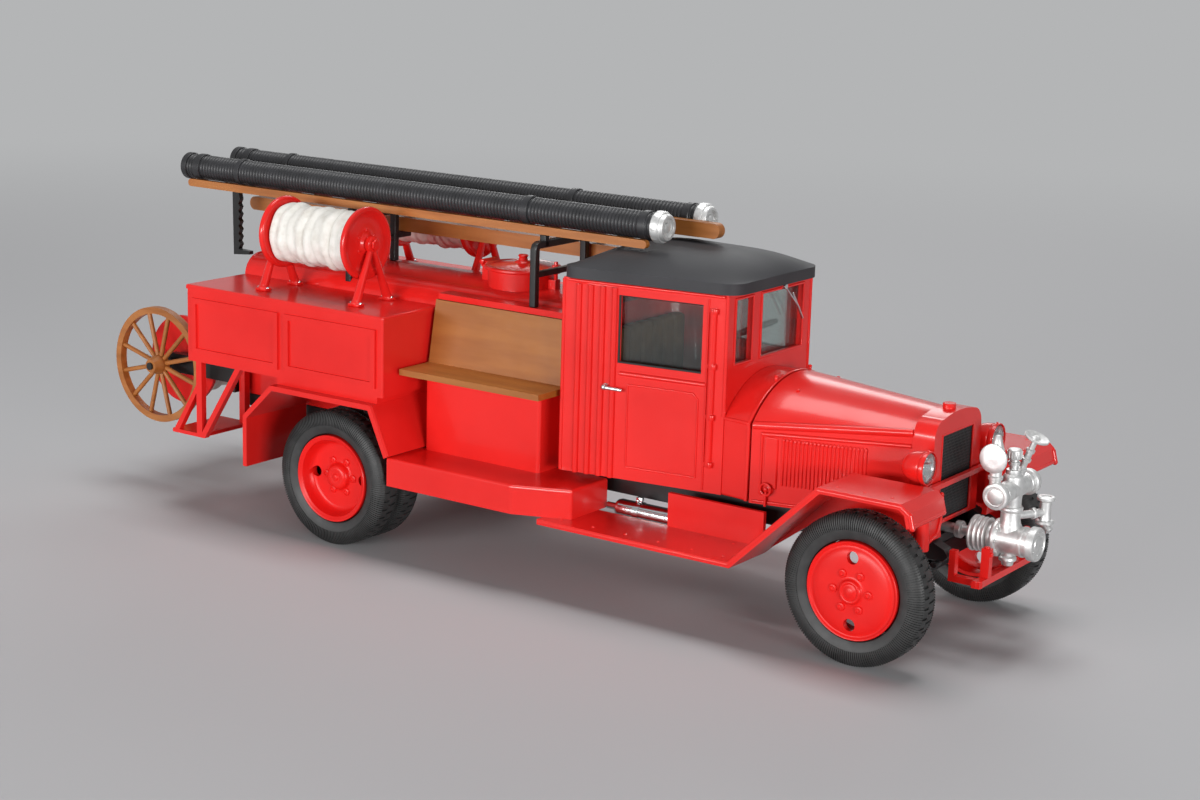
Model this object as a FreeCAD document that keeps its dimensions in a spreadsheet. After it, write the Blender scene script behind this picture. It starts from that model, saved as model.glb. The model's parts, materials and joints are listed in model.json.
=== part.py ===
# Scale model of an old fire engine, one forty-third of full size.
# Millimetres, +X forward, +Y to the left side, +Z up, wheels on z = 0.
# The pieces are drawn from the rear axle line, then the whole is moved so that
# the origin is under the middle of the model.
import FreeCAD, Part
import math
import os
import Sketcher

DOC = FreeCAD.newDocument("fire_engine")
SHEET = DOC.addObject("Spreadsheet::Sheet", "Sizes")

# Driving sizes, in groups that follow the pieces.
SIZES = {
    "origin_ahead": 25.55,
    "wheelbase": 88.6,
    "cut_over": 2.0,
    "seat_gap": 0.05,
    "running_gap": 0.06,

    "tyre_radius": 10.5,
    "tyre_width": 4.3,
    "tread_width": 3.3,
    "tread_crown": 0.35,
    "tyre_wall_step": 0.55,
    "rim_radius": 6.74,
    "rim_flange": 0.5,
    "rim_wall": 0.6,
    "disc_thick": 0.8,
    "front_wheel_y": 17.8,
    "front_disc_out": 2.26,
    "rear_wheel_y": 20.35,
    "twin_spacing": 4.9,
    "rear_disc_dish": 2.2,
    "hub_radius": 1.45,
    "hub_proud": 0.6,
    "hub_barrel_radius": 1.7,
    "hand_hole_radius": 0.8,
    "hand_hole_circle": 4.6,
    "axle_rod_radius": 0.6,

    "frame_rail_y": 7.9,
    "frame_rail_width": 2.0,
    "frame_rail_height": 3.4,
    "frame_rail_wall": 0.6,
    "frame_top": 16.9,
    "frame_rear_x": -31.5,
    "frame_front_x": 3.4,
    "frame_horn_x": 7.6,
    "frame_horn_drop": 1.6,
    "frame_cross_length": 2.4,
    "frame_cross_height": 2.2,
    "post_rear_x": 26.0,
    "post_front_x": -30.6,
    "post_y": 4.2,
    "post_radius": 2.0,
    "post_bottom": 8.2,
    "post_thread_radius": 1.0,
    "post_thread_depth": 6.0,

    "beam_half": 14.6,
    "beam_height": 2.6,
    "beam_length": 2.2,
    "case_radius": 3.2,
    "case_tube_radius": 1.5,
    "case_half": 12.2,
    "case_half_width": 3.0,
    "spring_y": 8.5,
    "rear_spring_y": 11.1,
    "spring_width": 1.5,
    "spring_leaf": 0.45,
    "spring_front_half": 6.8,
    "spring_rear_half": 10.6,
    "spring_rise": 2.0,
    "sump_rear_x": -18.6,
    "sump_front_x": -1.1,
    "sump_half": 3.2,
    "sump_bottom": 12.2,
    "engine_top": 24.0,
    "gearbox_rear_x": -27.6,
    "gearbox_half": 2.2,
    "gearbox_height": 4.0,
    "gearbox_z": 13.6,
    "shaft_radius": 0.75,
    "silencer_y": 10.9,
    "silencer_z": 12.0,
    "silencer_radius": 1.35,
    "silencer_rear_x": -43.4,
    "silencer_front_x": -22.6,
    "silencer_end": 1.0,
    "silencer_pipe_radius": 0.5,

    "guard_outer": 22.3,
    "guard_inner": 12.6,
    "guard_thick": 0.8,
    "board_rear_x": -49.6,
    "board_top": 11.5,
    "guard_low_x": -17.7,
    "guard_rise_x": -4.5,
    "guard_front_x": 7.7,
    "guard_top": 24.3,
    "guard_nose_x": 8.9,
    "guard_nose_drop": 1.0,
    "guard_lip_drop": 2.9,
    "guard_lip_x": 9.4,
    "valance_bottom": 16.0,
    "valance_rear_x": -22.4,
    "valance_thick": 0.7,
    "apron_x": 6.1,
    "apron_thick": 0.7,
    "apron_top": 22.3,
    "apron_seat": 0.7,
    "apron_inner": 7.4,
    "apron_roll_radius": 0.8,
    "skirt_rear_x": -33.4,
    "skirt_y": 12.4,
    "skirt_top": 16.4,

    "cab_rear_x": -51.1,
    "cab_front_x": -25.8,
    "cab_rear_half": 15.0,
    "cab_front_half": 11.4,
    "cab_bottom": 17.1,
    "cab_top": 45.4,
    "cab_wall": 0.9,
    "cab_floor": 1.0,
    "cowl_front_x": -21.2,
    "cowl_half": 11.9,
    "cowl_shoulder": 28.2,
    "cowl_crown": 33.7,
    "scuttle_shoulder": 34.2,
    "scuttle_crown": 34.9,
    "door_glass_rear_x": -42.4,
    "door_glass_front_x": -29.5,
    "glass_bottom": 33.95,
    "glass_top": -1.7,
    "screen_bottom": 35.3,
    "screen_top": -0.8,
    "screen_near_y": 9.4,
    "screen_post_near_y": 4.7,
    "screen_post_far_y": 2.5,
    "screen_far_y": 9.2,
    "rear_glass_half": 4.6,
    "rear_glass_bottom": -4.6,
    "glass_thick": 0.45,
    "glass_lap": 0.8,
    "rib_radius": 0.42,
    "rib_first_x": -48.6,
    "rib_pitch": 1.87,
    "rib_margin": 0.7,
    "hinge_x": -27.9,
    "hinge_radius": 0.5,
    "hinge_bottom": 20.9,
    "hinge_top": -2.3,
    "roof_over": 0.5,
    "roof_front_over": 1.4,
    "roof_rim": 1.3,
    "roof_crown": 4.3,
    "roof_end_drop": 1.5,
    "roof_round": 0.7,
    "handle_x": -41.9,
    "handle_z": 30.3,
    "handle_length": 2.5,
    "handle_radius": 0.28,
    "handle_stand": 0.5,
    "seat_rear_x": -49.4,
    "seat_front_x": -39.1,
    "seat_half": 11.6,
    "seat_top": 26.5,
    "seat_back_top": -8.4,
    "seat_back_thick": 2.2,
    "dash_x": -28.2,
    "dash_bottom": 30.0,
    "dash_top": 34.2,
    "wheel_y": 5.4,
    "wheel_centre_x": -32.2,
    "wheel_centre_z": -8.1,
    "wheel_ring_radius": 3.9,
    "wheel_ring_tube": 0.35,
    "column_foot_x": -23.4,
    "column_radius": 0.4,
    "column_gap": 0.15,

    "bonnet_front_x": 1.2,
    "bonnet_front_half": 6.9,
    "bonnet_bottom": 17.0,
    "bonnet_front_shoulder": 29.8,
    "bonnet_front_crown": 32.0,
    "bonnet_gap": 0.3,
    "bonnet_wall": 0.9,
    "louvre_count": 22,
    "louvre_first_x": -16.4,
    "louvre_last_x": -5,
    "louvre_bottom": 20.2,
    "louvre_top": 26.4,
    "louvre_radius": 0.2,

    "shell_front_x": 4.4,
    "shell_over": 0.15,
    "shell_bottom": 16.95,
    "shell_round": 2.6,
    "shell_arch": 0.5,
    "core_half": 4.7,
    "core_bottom": 17.4,
    "core_top": 29.4,
    "core_depth": 1.3,
    "core_slat_count": 13,
    "core_slat_width": 0.3,
    "core_slat_proud": 0.3,
    "core_plate": 0.7,
    "cap_radius": 0.9,
    "cap_height": 0.7,

    "lamp_x": 5.6,
    "lamp_y": 10.45,
    "lamp_z": 26.2,
    "lamp_radius": 2.3,
    "lamp_length": 3.9,
    "lamp_rim": 0.5,
    "lamp_wall": 0.35,
    "lens_radius": 1.9,
    "lens_bulge": 0.3,
    "lens_inset": 0.5,
    "lamp_post_radius": 0.4,
    "bar_z": 22.9,
    "bar_height": 0.7,
    "bar_depth": 0.7,

    "tank_half": 8.9,
    "tank_rear_x": -30.5,
    "tank_bottom": 17.0,
    "tank_shoulder": -9.4,
    "tank_top": -5.3,
    "tank_corner": 3.7,
    "tank_front_gap": 0.5,
    "ledge_outer": 10.4,
    "ledge_top": -6.4,
    "ledge_thick": 0.9,
    "ledge_rear_x": 11.0,
    "hatch_x": -69.6,
    "hatch_radius": 5.4,
    "hatch_lid_radius": 5.9,
    "hatch_base": -6.4,
    "hatch_top": -1.9,
    "hatch_lid_thick": 0.9,

    "locker_front_x": 9.9,
    "locker_outer": 22.0,
    "locker_bottom": 24.5,
    "locker_top": -8.7,
    "locker_lid": 0.7,
    "locker_lid_over": 0.15,
    "panel_margin": 1.3,
    "panel_frame": 0.9,
    "panel_proud": 0.35,

    "arch_outer": 23.3,
    "arch_inner": 9.6,
    "arch_thick": 0.8,
    "arch_rear_x": -17.4,
    "arch_rear_low": 9.7,
    "arch_rear_bend": 17.8,
    "arch_top_rear_x": -11.6,
    "arch_top": 23.4,
    "arch_top_front_x": 8.6,
    "arch_front_x": 12.0,
    "arch_front_low": 16.1,

    "step_rear_x": 11.4,
    "step_corner_x": -54,
    "step_front_x": -45.6,
    "step_outer": 22.7,
    "step_front_outer": 19.4,
    "step_inner": 10.6,
    "step_top": 15.8,
    "step_wall": 0.8,
    "bench_front_x": -54.8,
    "bench_outer": 15.0,
    "bench_top": 27.7,
    "bench_step_x": 12.4,
    "seat_board_rear_x": 10.6,
    "seat_board_front_x": -52.2,
    "seat_board_outer": 19.0,
    "seat_board_thick": 0.9,
    "back_board_top": -7.4,
    "back_board_foot": 12.2,
    "back_board_head": 10.5,
    "back_board_thick": 0.9,

    "reel_y": 14.2,
    "reel_z": 0.3,
    "reel_front_x": 0.2,
    "reel_rear_x": -17.2,
    "reel_disc_radius": 5.6,
    "reel_disc_thick": 0.8,
    "reel_core_radius": 2.0,
    "reel_coil_radius": 4.9,
    "reel_coil_wave": 0.25,
    "reel_coil_count": 9,
    "reel_pin_radius": 0.6,
    "stand_gap": 0.3,
    "stand_thick": 1.0,
    "stand_foot_half": 3.7,
    "stand_leg": 1.1,
    "stand_foot_length": 2.2,
    "stand_foot_thick": 0.6,
    "stand_boss_radius": 1.2,

    "rack_front_x": -60.3,
    "rack_rear_x": -9.0,
    "rack_near_y": 9.6,
    "rack_rear_near_y": 7.8,
    "rack_far_y": 2.9,
    "rack_bar": 1.1,
    "rack_top": 3.3,
    "rack_brace_z": -1.6,
    "rack_peg_top": -0.7,
    "ladder_half": 7.3,
    "ladder_rear_x": -44.4,
    "ladder_front_x": -42,
    "ladder_rail_width": 0.9,
    "ladder_rail_height": 1.2,
    "ladder_bottom": 4.1,
    "ladder_rung_radius": 0.4,
    "ladder_rung_count": 13,
    "pole_y": 2.4,
    "pole_width": 1.6,
    "pole_rear_x": -36.0,
    "pole_front_x": -35.6,
    "stick_y": 5.3,
    "stick_width": 2.4,
    "stick_height": 2.2,
    "stick_rear_x": -42.0,
    "stick_front_x": -52.6,
    "hook_x": -41.2,
    "hook_bottom": -7.8,
    "hook_toe": 3.6,
    "hook_thick": 0.9,
    "hook_width": 1.1,
    "hook_tooth_count": 7,
    "hook_shank": 12.0,
    "suction_y": 5.7,
    "suction_radius": 2.0,
    "suction_sink": 0.15,
    "suction_rear_x": -45.6,
    "suction_front_x": -41.7,
    "suction_collar_radius": 2.2,
    "suction_collar_length": 1.4,
    "coupling_radius": 2.35,
    "coupling_length": 2.0,

    "rear_frame_y": 20.0,
    "rear_frame_thick": 1.0,
    "rear_post_x": -29.6,
    "rear_post_width": 1.2,
    "rear_strut": 1.1,
    "rear_tread_z": 12.3,
    "rear_tread_thick": 0.6,
    "rear_tread_x": -35.6,
    "rear_strut_top_x": -21.4,
    "rear_strut_branch": 20.4,
    "rear_tread_inner": 9.6,

    "cart_x": -45.1,
    "cart_z": 20.35,
    "cart_wheel_y": 14.0,
    "cart_wheel_radius": 9.6,
    "cart_felloe": 1.1,
    "cart_felloe_width": 1.3,
    "cart_spoke_radius": 0.38,
    "cart_spoke_count": 12,
    "cart_hub_radius": 1.6,
    "cart_hub_out": 2.1,
    "cart_hub_in": 0.9,
    "cart_axle_radius": 0.6,
    "cart_axle_proud": 0.35,
    "cart_drum_half": 8.6,
    "cart_drum_radius": 7.4,
    "cart_drum_flange": 0.6,
    "cart_drum_core": 2.2,
    "cart_coil_radius": 6.2,
    "cart_arm_y": 10.9,
    "cart_arm_thick": 1.2,
    "cart_arm_height": 3.0,
    "cart_arm_eye": 1.6,

    "pump_z": 15.6,
    "pump_gear_rear_x": 7.3,
    "pump_gear_front_x": 10,
    "pump_gear_radius": 2.5,
    "pump_gear_rib": 0.35,
    "pump_neck_radius": 1.5,
    "pump_case_rear_x": 11.2,
    "pump_case_front_x": 16,
    "pump_case_radius": 2.05,
    "pump_mouth_radius": 2.35,
    "pump_mouth_length": 1.2,
    "pump_column_x": 12.8,
    "pump_column_radius": 1.35,
    "pump_cross_z": 22.6,
    "pump_cross_radius": 1.4,
    "pump_cross_half": 4.4,
    "pump_cap_radius": 1.8,
    "pump_cap_length": 1.2,
    "pump_head_top": 24.9,
    "pump_drain_radius": 0.95,
    "pump_drain_bottom": 11.9,
    "pump_shaft_radius": 0.7,
    "valve_stub_radius": 0.75,
    "valve_stub_top": 28.2,
    "near_valve_x": 11.7,
    "near_valve_y": 3.2,
    "near_valve_radius": 0.8,
    "near_valve_top": 30.4,
    "near_plate_radius": 2.0,
    "near_plate_thick": 0.5,
    "near_plate_z": 27.4,
    "hand_wheel_radius": 1.75,
    "hand_wheel_thick": 0.5,
    "hand_wheel_tilt": 22.0,
    "hand_wheel_stem": 5.4,
    "hand_wheel_y": 1.9,
    "side_pot_x": 15.6,
    "side_pot_y": 5.0,
    "side_pot_radius": 0.8,
    "side_pot_bottom": 17.2,
    "side_pot_top": 21.0,
    "side_pot_flange": 1.25,
    "side_pipe_z": 18.8,
    "side_pipe_radius": 0.55,
    "carrier_x": 12.6,
    "carrier_half": 9.2,
    "carrier_depth": 1.2,
    "carrier_height": 0.9,
    "carrier_z": 11.3,
    "carrier_post_y": 6.2,
    "carrier_post_width": 1.0,
    "carrier_post_top": 15.7,
}


class Size:
    """A length that knows its number and the sheet formula that gives it."""

    def __init__(self, value, text):
        self.value = value
        self.text = text

    def __float__(self):
        return self.value

    def __neg__(self):
        return Size(-self.value, f"(-{self.text})")

    def __add__(self, other):
        other = as_size(other)
        return Size(self.value + other.value, f"({self.text} + {other.text})")

    def __sub__(self, other):
        other = as_size(other)
        return Size(self.value - other.value, f"({self.text} - {other.text})")

    def __mul__(self, other):
        other = as_size(other)
        return Size(self.value * other.value, f"({self.text} * {other.text})")

    def __truediv__(self, other):
        other = as_size(other)
        return Size(self.value / other.value, f"({self.text} / {other.text})")

    __radd__ = __add__
    __rmul__ = __mul__

    def __rsub__(self, other):
        return as_size(other) - self


def as_size(number):
    """A plain count or share joins a sum of sizes."""
    if isinstance(number, Size):
        return number
    return Size(float(number), repr(number))


for row, (alias, number) in enumerate(SIZES.items(), start=1):
    SHEET.set(f"A{row}", alias)
    SHEET.set(f"B{row}", str(number))
    SHEET.setAlias(f"B{row}", alias)
DOC.recompute()


# Places that go with the front axle or with the top of the cab are written as their
# distance from it.
MEASURED_FROM = {
    "wheelbase": (
        "frame_front_x", "frame_horn_x", "post_front_x", "sump_rear_x", "sump_front_x",
        "gearbox_rear_x", "silencer_rear_x", "silencer_front_x", "board_rear_x", "guard_low_x",
        "guard_rise_x", "guard_front_x", "guard_nose_x", "guard_lip_x", "valance_rear_x",
        "apron_x", "skirt_rear_x", "cab_rear_x", "cab_front_x", "cowl_front_x",
        "door_glass_rear_x", "door_glass_front_x", "rib_first_x", "hinge_x", "handle_x",
        "seat_rear_x", "seat_front_x", "dash_x", "wheel_centre_x", "column_foot_x", "bonnet_front_x",
        "louvre_first_x", "louvre_last_x", "shell_front_x", "lamp_x", "hatch_x", "step_corner_x",
        "step_front_x", "bench_front_x", "seat_board_front_x", "rack_front_x", "ladder_front_x",
        "pole_front_x", "stick_front_x", "suction_front_x", "pump_gear_rear_x",
        "pump_gear_front_x", "pump_case_rear_x", "pump_case_front_x", "pump_column_x",
        "near_valve_x", "side_pot_x", "carrier_x",
    ),
    "cab_top": (
        "roof_crown", "glass_top", "screen_top", "hinge_top", "rear_glass_bottom", "ladder_bottom",
        "rack_top", "rack_brace_z", "rack_peg_top", "hook_bottom", "hatch_top", "hatch_base",
        "tank_top", "tank_shoulder", "ledge_top", "locker_top", "back_board_top", "reel_z",
        "seat_back_top", "wheel_centre_z",
    ),
}


class Sheet:
    """Reads a driving size from the sheet by its name."""

    def __getattr__(self, alias):
        own = Size(float(SHEET.get(alias)), f"Sizes.{alias}")
        for base, names in MEASURED_FROM.items():
            if alias in names:
                return getattr(self, base) + own
        return own


D = Sheet()
ZERO = as_size(0)
NODES = []

# The normals of the origin planes, for pieces drawn in them.
PLANES = {"XY": "XY_Plane", "XZ": "XZ_Plane", "YZ": "YZ_Plane"}
TURN_TO_AXIS = {
    "X": FreeCAD.Rotation(FreeCAD.Vector(0, 1, 0), 90),
    "Y": FreeCAD.Rotation(FreeCAD.Vector(1, 0, 0), -90),
    "Z": FreeCAD.Rotation(),
}


def bind(thing, path, size):
    thing.setExpression(path, as_size(size).text)


def number_of(size):
    return as_size(size).value


def new_body(name):
    return DOC.addObject("PartDesign::Body", name)


def new_sketch(body, plane, level, name):
    """A sketch on one of the body's own origin planes, lifted along its normal."""
    sketch = body.newObject("Sketcher::SketchObject", name)
    for feature in body.Origin.OriginFeatures:
        if feature.Role == PLANES[plane]:
            sketch.AttachmentSupport = [(feature, "")]
    sketch.MapMode = "FlatFace"
    if number_of(level) or as_size(level).text != "0":
        bind(sketch, "AttachmentOffset.Base.z", level)
    return sketch


def fix_point(sketch, edge, end, point):
    """Ties one end of an edge to its place, measured from the sketch's origin."""
    for axis, kind, size in ((-2, "DistanceX", point[0]), (-1, "DistanceY", point[1])):
        size = as_size(size)
        if size.text == "0":
            sketch.addConstraint(Sketcher.Constraint("PointOnObject", edge, end, axis))
            continue
        index = sketch.addConstraint(
            Sketcher.Constraint(kind, -1, 1, edge, end, size.value))
        sketch.setExpression(f"Constraints[{index}]", size.text)


def draw(sketch, path):
    """Closes an outline. A point with a third value starts an arc of that radius,
    bulging to the right of the way to the next point, or to the left if negative."""
    corners = [FreeCAD.Vector(number_of(p[0]), number_of(p[1]), 0) for p in path]
    first = sketch.GeometryCount
    starts = []
    ends = []
    for turn, point in enumerate(path):
        here = corners[turn]
        there = corners[(turn + 1) % len(path)]
        if len(point) == 2:
            sketch.addGeometry(Part.LineSegment(here, there), False)
            starts.append(1)
            ends.append(2)
            continue
        radius = number_of(point[2])
        chord = there - here
        left = FreeCAD.Vector(-chord.y, chord.x, 0).normalize()
        reach = math.sqrt(max(radius ** 2 - (chord.Length / 2) ** 2, 0))
        side = math.copysign(1, radius)
        centre = (here + there) / 2 + left * reach * side
        radius = abs(radius)
        begin, finish = (here, there) if side > 0 else (there, here)
        angles = [math.atan2(p.y - centre.y, p.x - centre.x) for p in (begin, finish)]
        circle = Part.Circle(centre, FreeCAD.Vector(0, 0, 1), radius)
        sketch.addGeometry(Part.ArcOfCircle(circle, angles[0], angles[1]), False)
        starts.append(1 if side > 0 else 2)
        ends.append(2 if side > 0 else 1)
    for turn, point in enumerate(path):
        edge = first + turn
        before = first + (turn - 1) % len(path)
        sketch.addConstraint(Sketcher.Constraint(
            "Coincident", before, ends[turn - 1], edge, starts[turn]))
        fix_point(sketch, edge, starts[turn], point)
        if len(point) == 3:
            size = point[2] if number_of(point[2]) > 0 else -as_size(point[2])
            index = sketch.addConstraint(
                Sketcher.Constraint("Radius", edge, number_of(size)))
            sketch.setExpression(f"Constraints[{index}]", as_size(size).text)


def draw_circle(sketch, centre, radius):
    middle = FreeCAD.Vector(number_of(centre[0]), number_of(centre[1]), 0)
    edge = sketch.addGeometry(
        Part.Circle(middle, FreeCAD.Vector(0, 0, 1), number_of(radius)), False)
    fix_point(sketch, edge, 3, centre)
    index = sketch.addConstraint(
        Sketcher.Constraint("Radius", edge, number_of(radius)))
    sketch.setExpression(f"Constraints[{index}]", as_size(radius).text)


def rectangle(low, high):
    return [(low[0], low[1]), (high[0], low[1]), (high[0], high[1]), (low[0], high[1])]


def pad(body, sketch, length):
    feature = body.newObject("PartDesign::Pad", sketch.Name + "_pad")
    feature.Profile = sketch
    bind(feature, "Length", length)
    return feature


def pocket(body, sketch, length, along_normal=False):
    feature = body.newObject("PartDesign::Pocket", sketch.Name + "_cut")
    feature.Profile = sketch
    bind(feature, "Length", length)
    feature.Reversed = along_normal
    return feature


def sheet_level(plane, low, high):
    """Where a sketch lies so that a pad along its normal fills low to high."""
    if plane == "XZ":
        return -as_size(high)
    return low


def prism(name, plane, low, high, *paths):
    """A body padded between two levels from one or more outlines."""
    body = new_body(name)
    sketch = new_sketch(body, plane, sheet_level(plane, low, high), name + "_outline")
    for path in paths:
        draw(sketch, path)
    pad(body, sketch, as_size(high) - low)
    return body


def cut_prism(body, name, plane, low, high, *paths):
    """Takes the outlines out of the body between two levels."""
    sketch = new_sketch(body, plane, sheet_level(plane, low, high), name)
    for path in paths:
        draw(sketch, path)
    pocket(body, sketch, as_size(high) - low, along_normal=True)


def turned(name, plane, axis, path):
    """A body of revolution about a sketch axis of its own origin."""
    body = new_body(name)
    sketch = new_sketch(body, plane, 0, name + "_profile")
    draw(sketch, path)
    feature = body.newObject("PartDesign::Revolution", name + "_turn")
    feature.Profile = sketch
    feature.ReferenceAxis = (sketch, [axis])
    feature.Angle = 360.0
    return body


def place(thing, x, y, z, turn=None):
    """Binds the place of a piece to the sheet."""
    if turn is not None:
        thing.Placement = FreeCAD.Placement(FreeCAD.Vector(), turn)
    for letter, size in (("x", x), ("y", y), ("z", z)):
        if as_size(size).text != "0":
            bind(thing, f"Placement.Base.{letter}", size)
    return thing


def box(name, low, high):
    solid = DOC.addObject("Part::Box", name)
    for side, start, stop in zip(("Length", "Width", "Height"), low, high):
        bind(solid, side, as_size(stop) - start)
    return place(solid, *low)


def rod(name, axis, start, length, radius):
    """A cylinder from its start point along X, Y or Z."""
    solid = DOC.addObject("Part::Cylinder", name)
    bind(solid, "Radius", radius)
    bind(solid, "Height", length)
    return place(solid, *start, turn=TURN_TO_AXIS[axis])


def fuse(name, *pieces):
    whole = DOC.addObject("Part::MultiFuse", name)
    whole.Shapes = list(pieces)
    return whole


def cut(name, base, tool):
    whole = DOC.addObject("Part::Cut", name)
    whole.Base = base
    whole.Tool = tool
    return whole


def mirrored(name, piece):
    """The same piece on the other side of the model."""
    twin = DOC.addObject("Part::Mirroring", name)
    twin.Source = piece
    twin.Normal = FreeCAD.Vector(0, 1, 0)
    return twin


def group(name, *pieces):
    whole = DOC.addObject("Part::Compound", name)
    whole.Links = list(pieces)
    return whole


def both_sides(name, piece):
    return group(name, piece, mirrored(name + "_left", piece))


def node(label, *pieces):
    """Names a finished sub-part and moves it to the model's origin."""
    whole = group(label + "_whole", *pieces)
    whole.Label = label
    bind(whole, "Placement.Base.x", -D.origin_ahead)
    NODES.append(whole)


# Cab plan: the side walls close in towards the front.
def cab_half(x, inset=ZERO):
    """Half the cab's width at a place along it, less an inset."""
    share = (as_size(x) - D.cab_rear_x) / (D.cab_front_x - D.cab_rear_x)
    return D.cab_rear_half - share * (D.cab_rear_half - D.cab_front_half) - inset


def cab_plan(rear, front, inset):
    """Plan outline of the cab box between two places along it."""
    return [(rear, -cab_half(rear, inset)), (front, -cab_half(front, inset)),
            (front, cab_half(front, inset)), (rear, cab_half(rear, inset))]


def make_tyre(name):
    half = D.tyre_width / 2
    tread = D.tread_width / 2
    shoulder = D.tyre_radius - D.tyre_wall_step * 2
    bead_half = half - D.tyre_wall_step
    crown = (tread * tread + D.tread_crown * D.tread_crown) / (2 * D.tread_crown)
    edge = D.tyre_radius - D.tread_crown
    path = [
        (D.rim_radius, -bead_half),
        (shoulder, -half),
        (edge, -tread, crown),
        (edge, tread),
        (shoulder, half),
        (D.rim_radius, bead_half),
    ]
    return turned(name, "XY", "V_Axis", path)


def make_wheel_disc(name, dish_out, hub_out):
    """Rim, disc and hub of one wheel, outer face towards -Y.
    The disc's middle stands at dish_out from the rim's middle plane."""
    half = D.tyre_width / 2 - D.tyre_wall_step
    rim_in = D.rim_radius - D.rim_wall
    edge = half + D.rim_flange
    path = [
        (D.axle_rod_radius, -hub_out),
        (D.hub_radius, -hub_out),
        (D.hub_radius, -dish_out),
        (rim_in, -edge),
        (D.rim_radius, -edge),
        (D.rim_radius, half),
        (rim_in, half),
        (rim_in, D.disc_thick - edge),
        (D.hub_barrel_radius, D.disc_thick - dish_out),
        (D.hub_barrel_radius, half),
        (D.axle_rod_radius, half),
    ]
    body = turned(name, "XY", "V_Axis", path)
    sketch = new_sketch(body, "XZ", 0, name + "_holes")
    for side in (-1, 1):
        draw_circle(sketch, (ZERO, side * D.hand_hole_circle), D.hand_hole_radius)
    cutter = pocket(body, sketch, D.tyre_width * 2)
    cutter.Midplane = True
    return body


def make_wheels():
    front_disc = make_wheel_disc("front_disc", D.front_disc_out,
                                 D.front_disc_out + D.hub_proud)
    rear_in = D.tyre_width / 2 - D.tyre_wall_step + D.rim_flange
    rear_disc = make_wheel_disc("rear_disc", rear_in - D.rear_disc_dish,
                                rear_in - D.rear_disc_dish + D.hub_proud * 2)
    twin_disc = make_wheel_disc("twin_disc", ZERO + D.disc_thick, D.disc_thick + D.hub_proud)
    front_tyre = make_tyre("front_tyre")
    rear_tyre = make_tyre("rear_tyre")
    twin_tyre = make_tyre("twin_tyre")
    for piece, x, y in ((front_disc, D.wheelbase, D.front_wheel_y),
                        (front_tyre, D.wheelbase, D.front_wheel_y),
                        (rear_disc, ZERO, D.rear_wheel_y),
                        (rear_tyre, ZERO, D.rear_wheel_y),
                        (twin_disc, ZERO, D.rear_wheel_y - D.twin_spacing),
                        (twin_tyre, ZERO, D.rear_wheel_y - D.twin_spacing)):
        place(piece, x, -y, D.tyre_radius)
    node("front_wheel_discs", both_sides("front_discs", front_disc))
    node("front_tyres", both_sides("front_tyre_pair", front_tyre))
    rear = group("rear_disc_side", rear_disc, twin_disc)
    node("rear_wheel_discs", both_sides("rear_discs", rear))
    tyres = group("rear_tyre_side", rear_tyre, twin_tyre)
    node("rear_tyres", both_sides("rear_tyre_pairs", tyres))
    front_half = D.front_wheel_y + D.front_disc_out
    rear_half = D.rear_wheel_y + rear_in - D.rear_disc_dish
    node("front_axle_rod", rod("front_rod", "Y", (D.wheelbase, -front_half, D.tyre_radius),
                               front_half * 2, D.axle_rod_radius))
    node("rear_axle_rod", rod("rear_rod", "Y", (ZERO, -rear_half, D.tyre_radius),
                              rear_half * 2, D.axle_rod_radius))


def make_frame():
    """Two channel rails with cross members and the two display base posts."""
    low = D.frame_top - D.frame_rail_height
    outer = D.frame_rail_y + D.frame_rail_width / 2
    inner = D.frame_rail_y - D.frame_rail_width / 2
    tail = D.frame_rail_height * 0.4
    side = [
        (D.frame_rear_x, D.frame_top - tail),
        (D.frame_rear_x + D.frame_rail_height * 2, low),
        (D.frame_horn_x, low),
        (D.frame_horn_x + D.frame_rail_wall, low + D.frame_horn_drop * 0.5),
        (D.frame_horn_x, low + D.frame_horn_drop),
        (D.frame_front_x, D.frame_top),
        (D.frame_rear_x, D.frame_top),
    ]
    rail = prism("rail", "XZ", -outer, -inner, side)
    channel = rectangle((D.frame_rear_x + D.frame_rail_height * 2, low + D.frame_rail_wall),
                        (D.frame_front_x, D.frame_top - D.frame_rail_wall))
    cut_prism(rail, "rail_channel", "XZ", D.frame_rail_wall - outer,
              -inner + D.cut_over, channel)
    pieces = [rail, mirrored("rail_left", rail)]
    reach = inner + D.frame_rail_wall
    for count, x in enumerate((D.frame_rear_x + D.frame_cross_length, D.post_rear_x,
                               D.post_front_x)):
        pieces.append(box(f"cross_{count}", (x - D.frame_cross_length / 2, -reach,
                                             D.frame_top - D.frame_cross_height),
                          (x + D.frame_cross_length / 2, reach, D.frame_top)))
    nose = D.frame_front_x - D.frame_cross_length
    pieces.append(box("cross_nose", (nose, -reach, low),
                      (D.frame_front_x, reach, low + D.frame_rail_wall * 2)))
    for count, x in enumerate((D.post_rear_x, D.post_front_x)):
        post = rod(f"post_{count}", "Z", (x, D.post_y, D.post_bottom),
                   D.frame_top - D.post_bottom, D.post_radius)
        pieces.append(post)
    whole = fuse("frame_fused", *pieces)
    threads = group("post_threads", *[
        rod(f"thread_{count}", "Z", (x, D.post_y, D.post_bottom - D.cut_over),
            D.post_thread_depth + D.cut_over, D.post_thread_radius)
        for count, x in enumerate((D.post_rear_x, D.post_front_x))])
    node("chassis_frame", cut("frame_cut", whole, threads))


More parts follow.
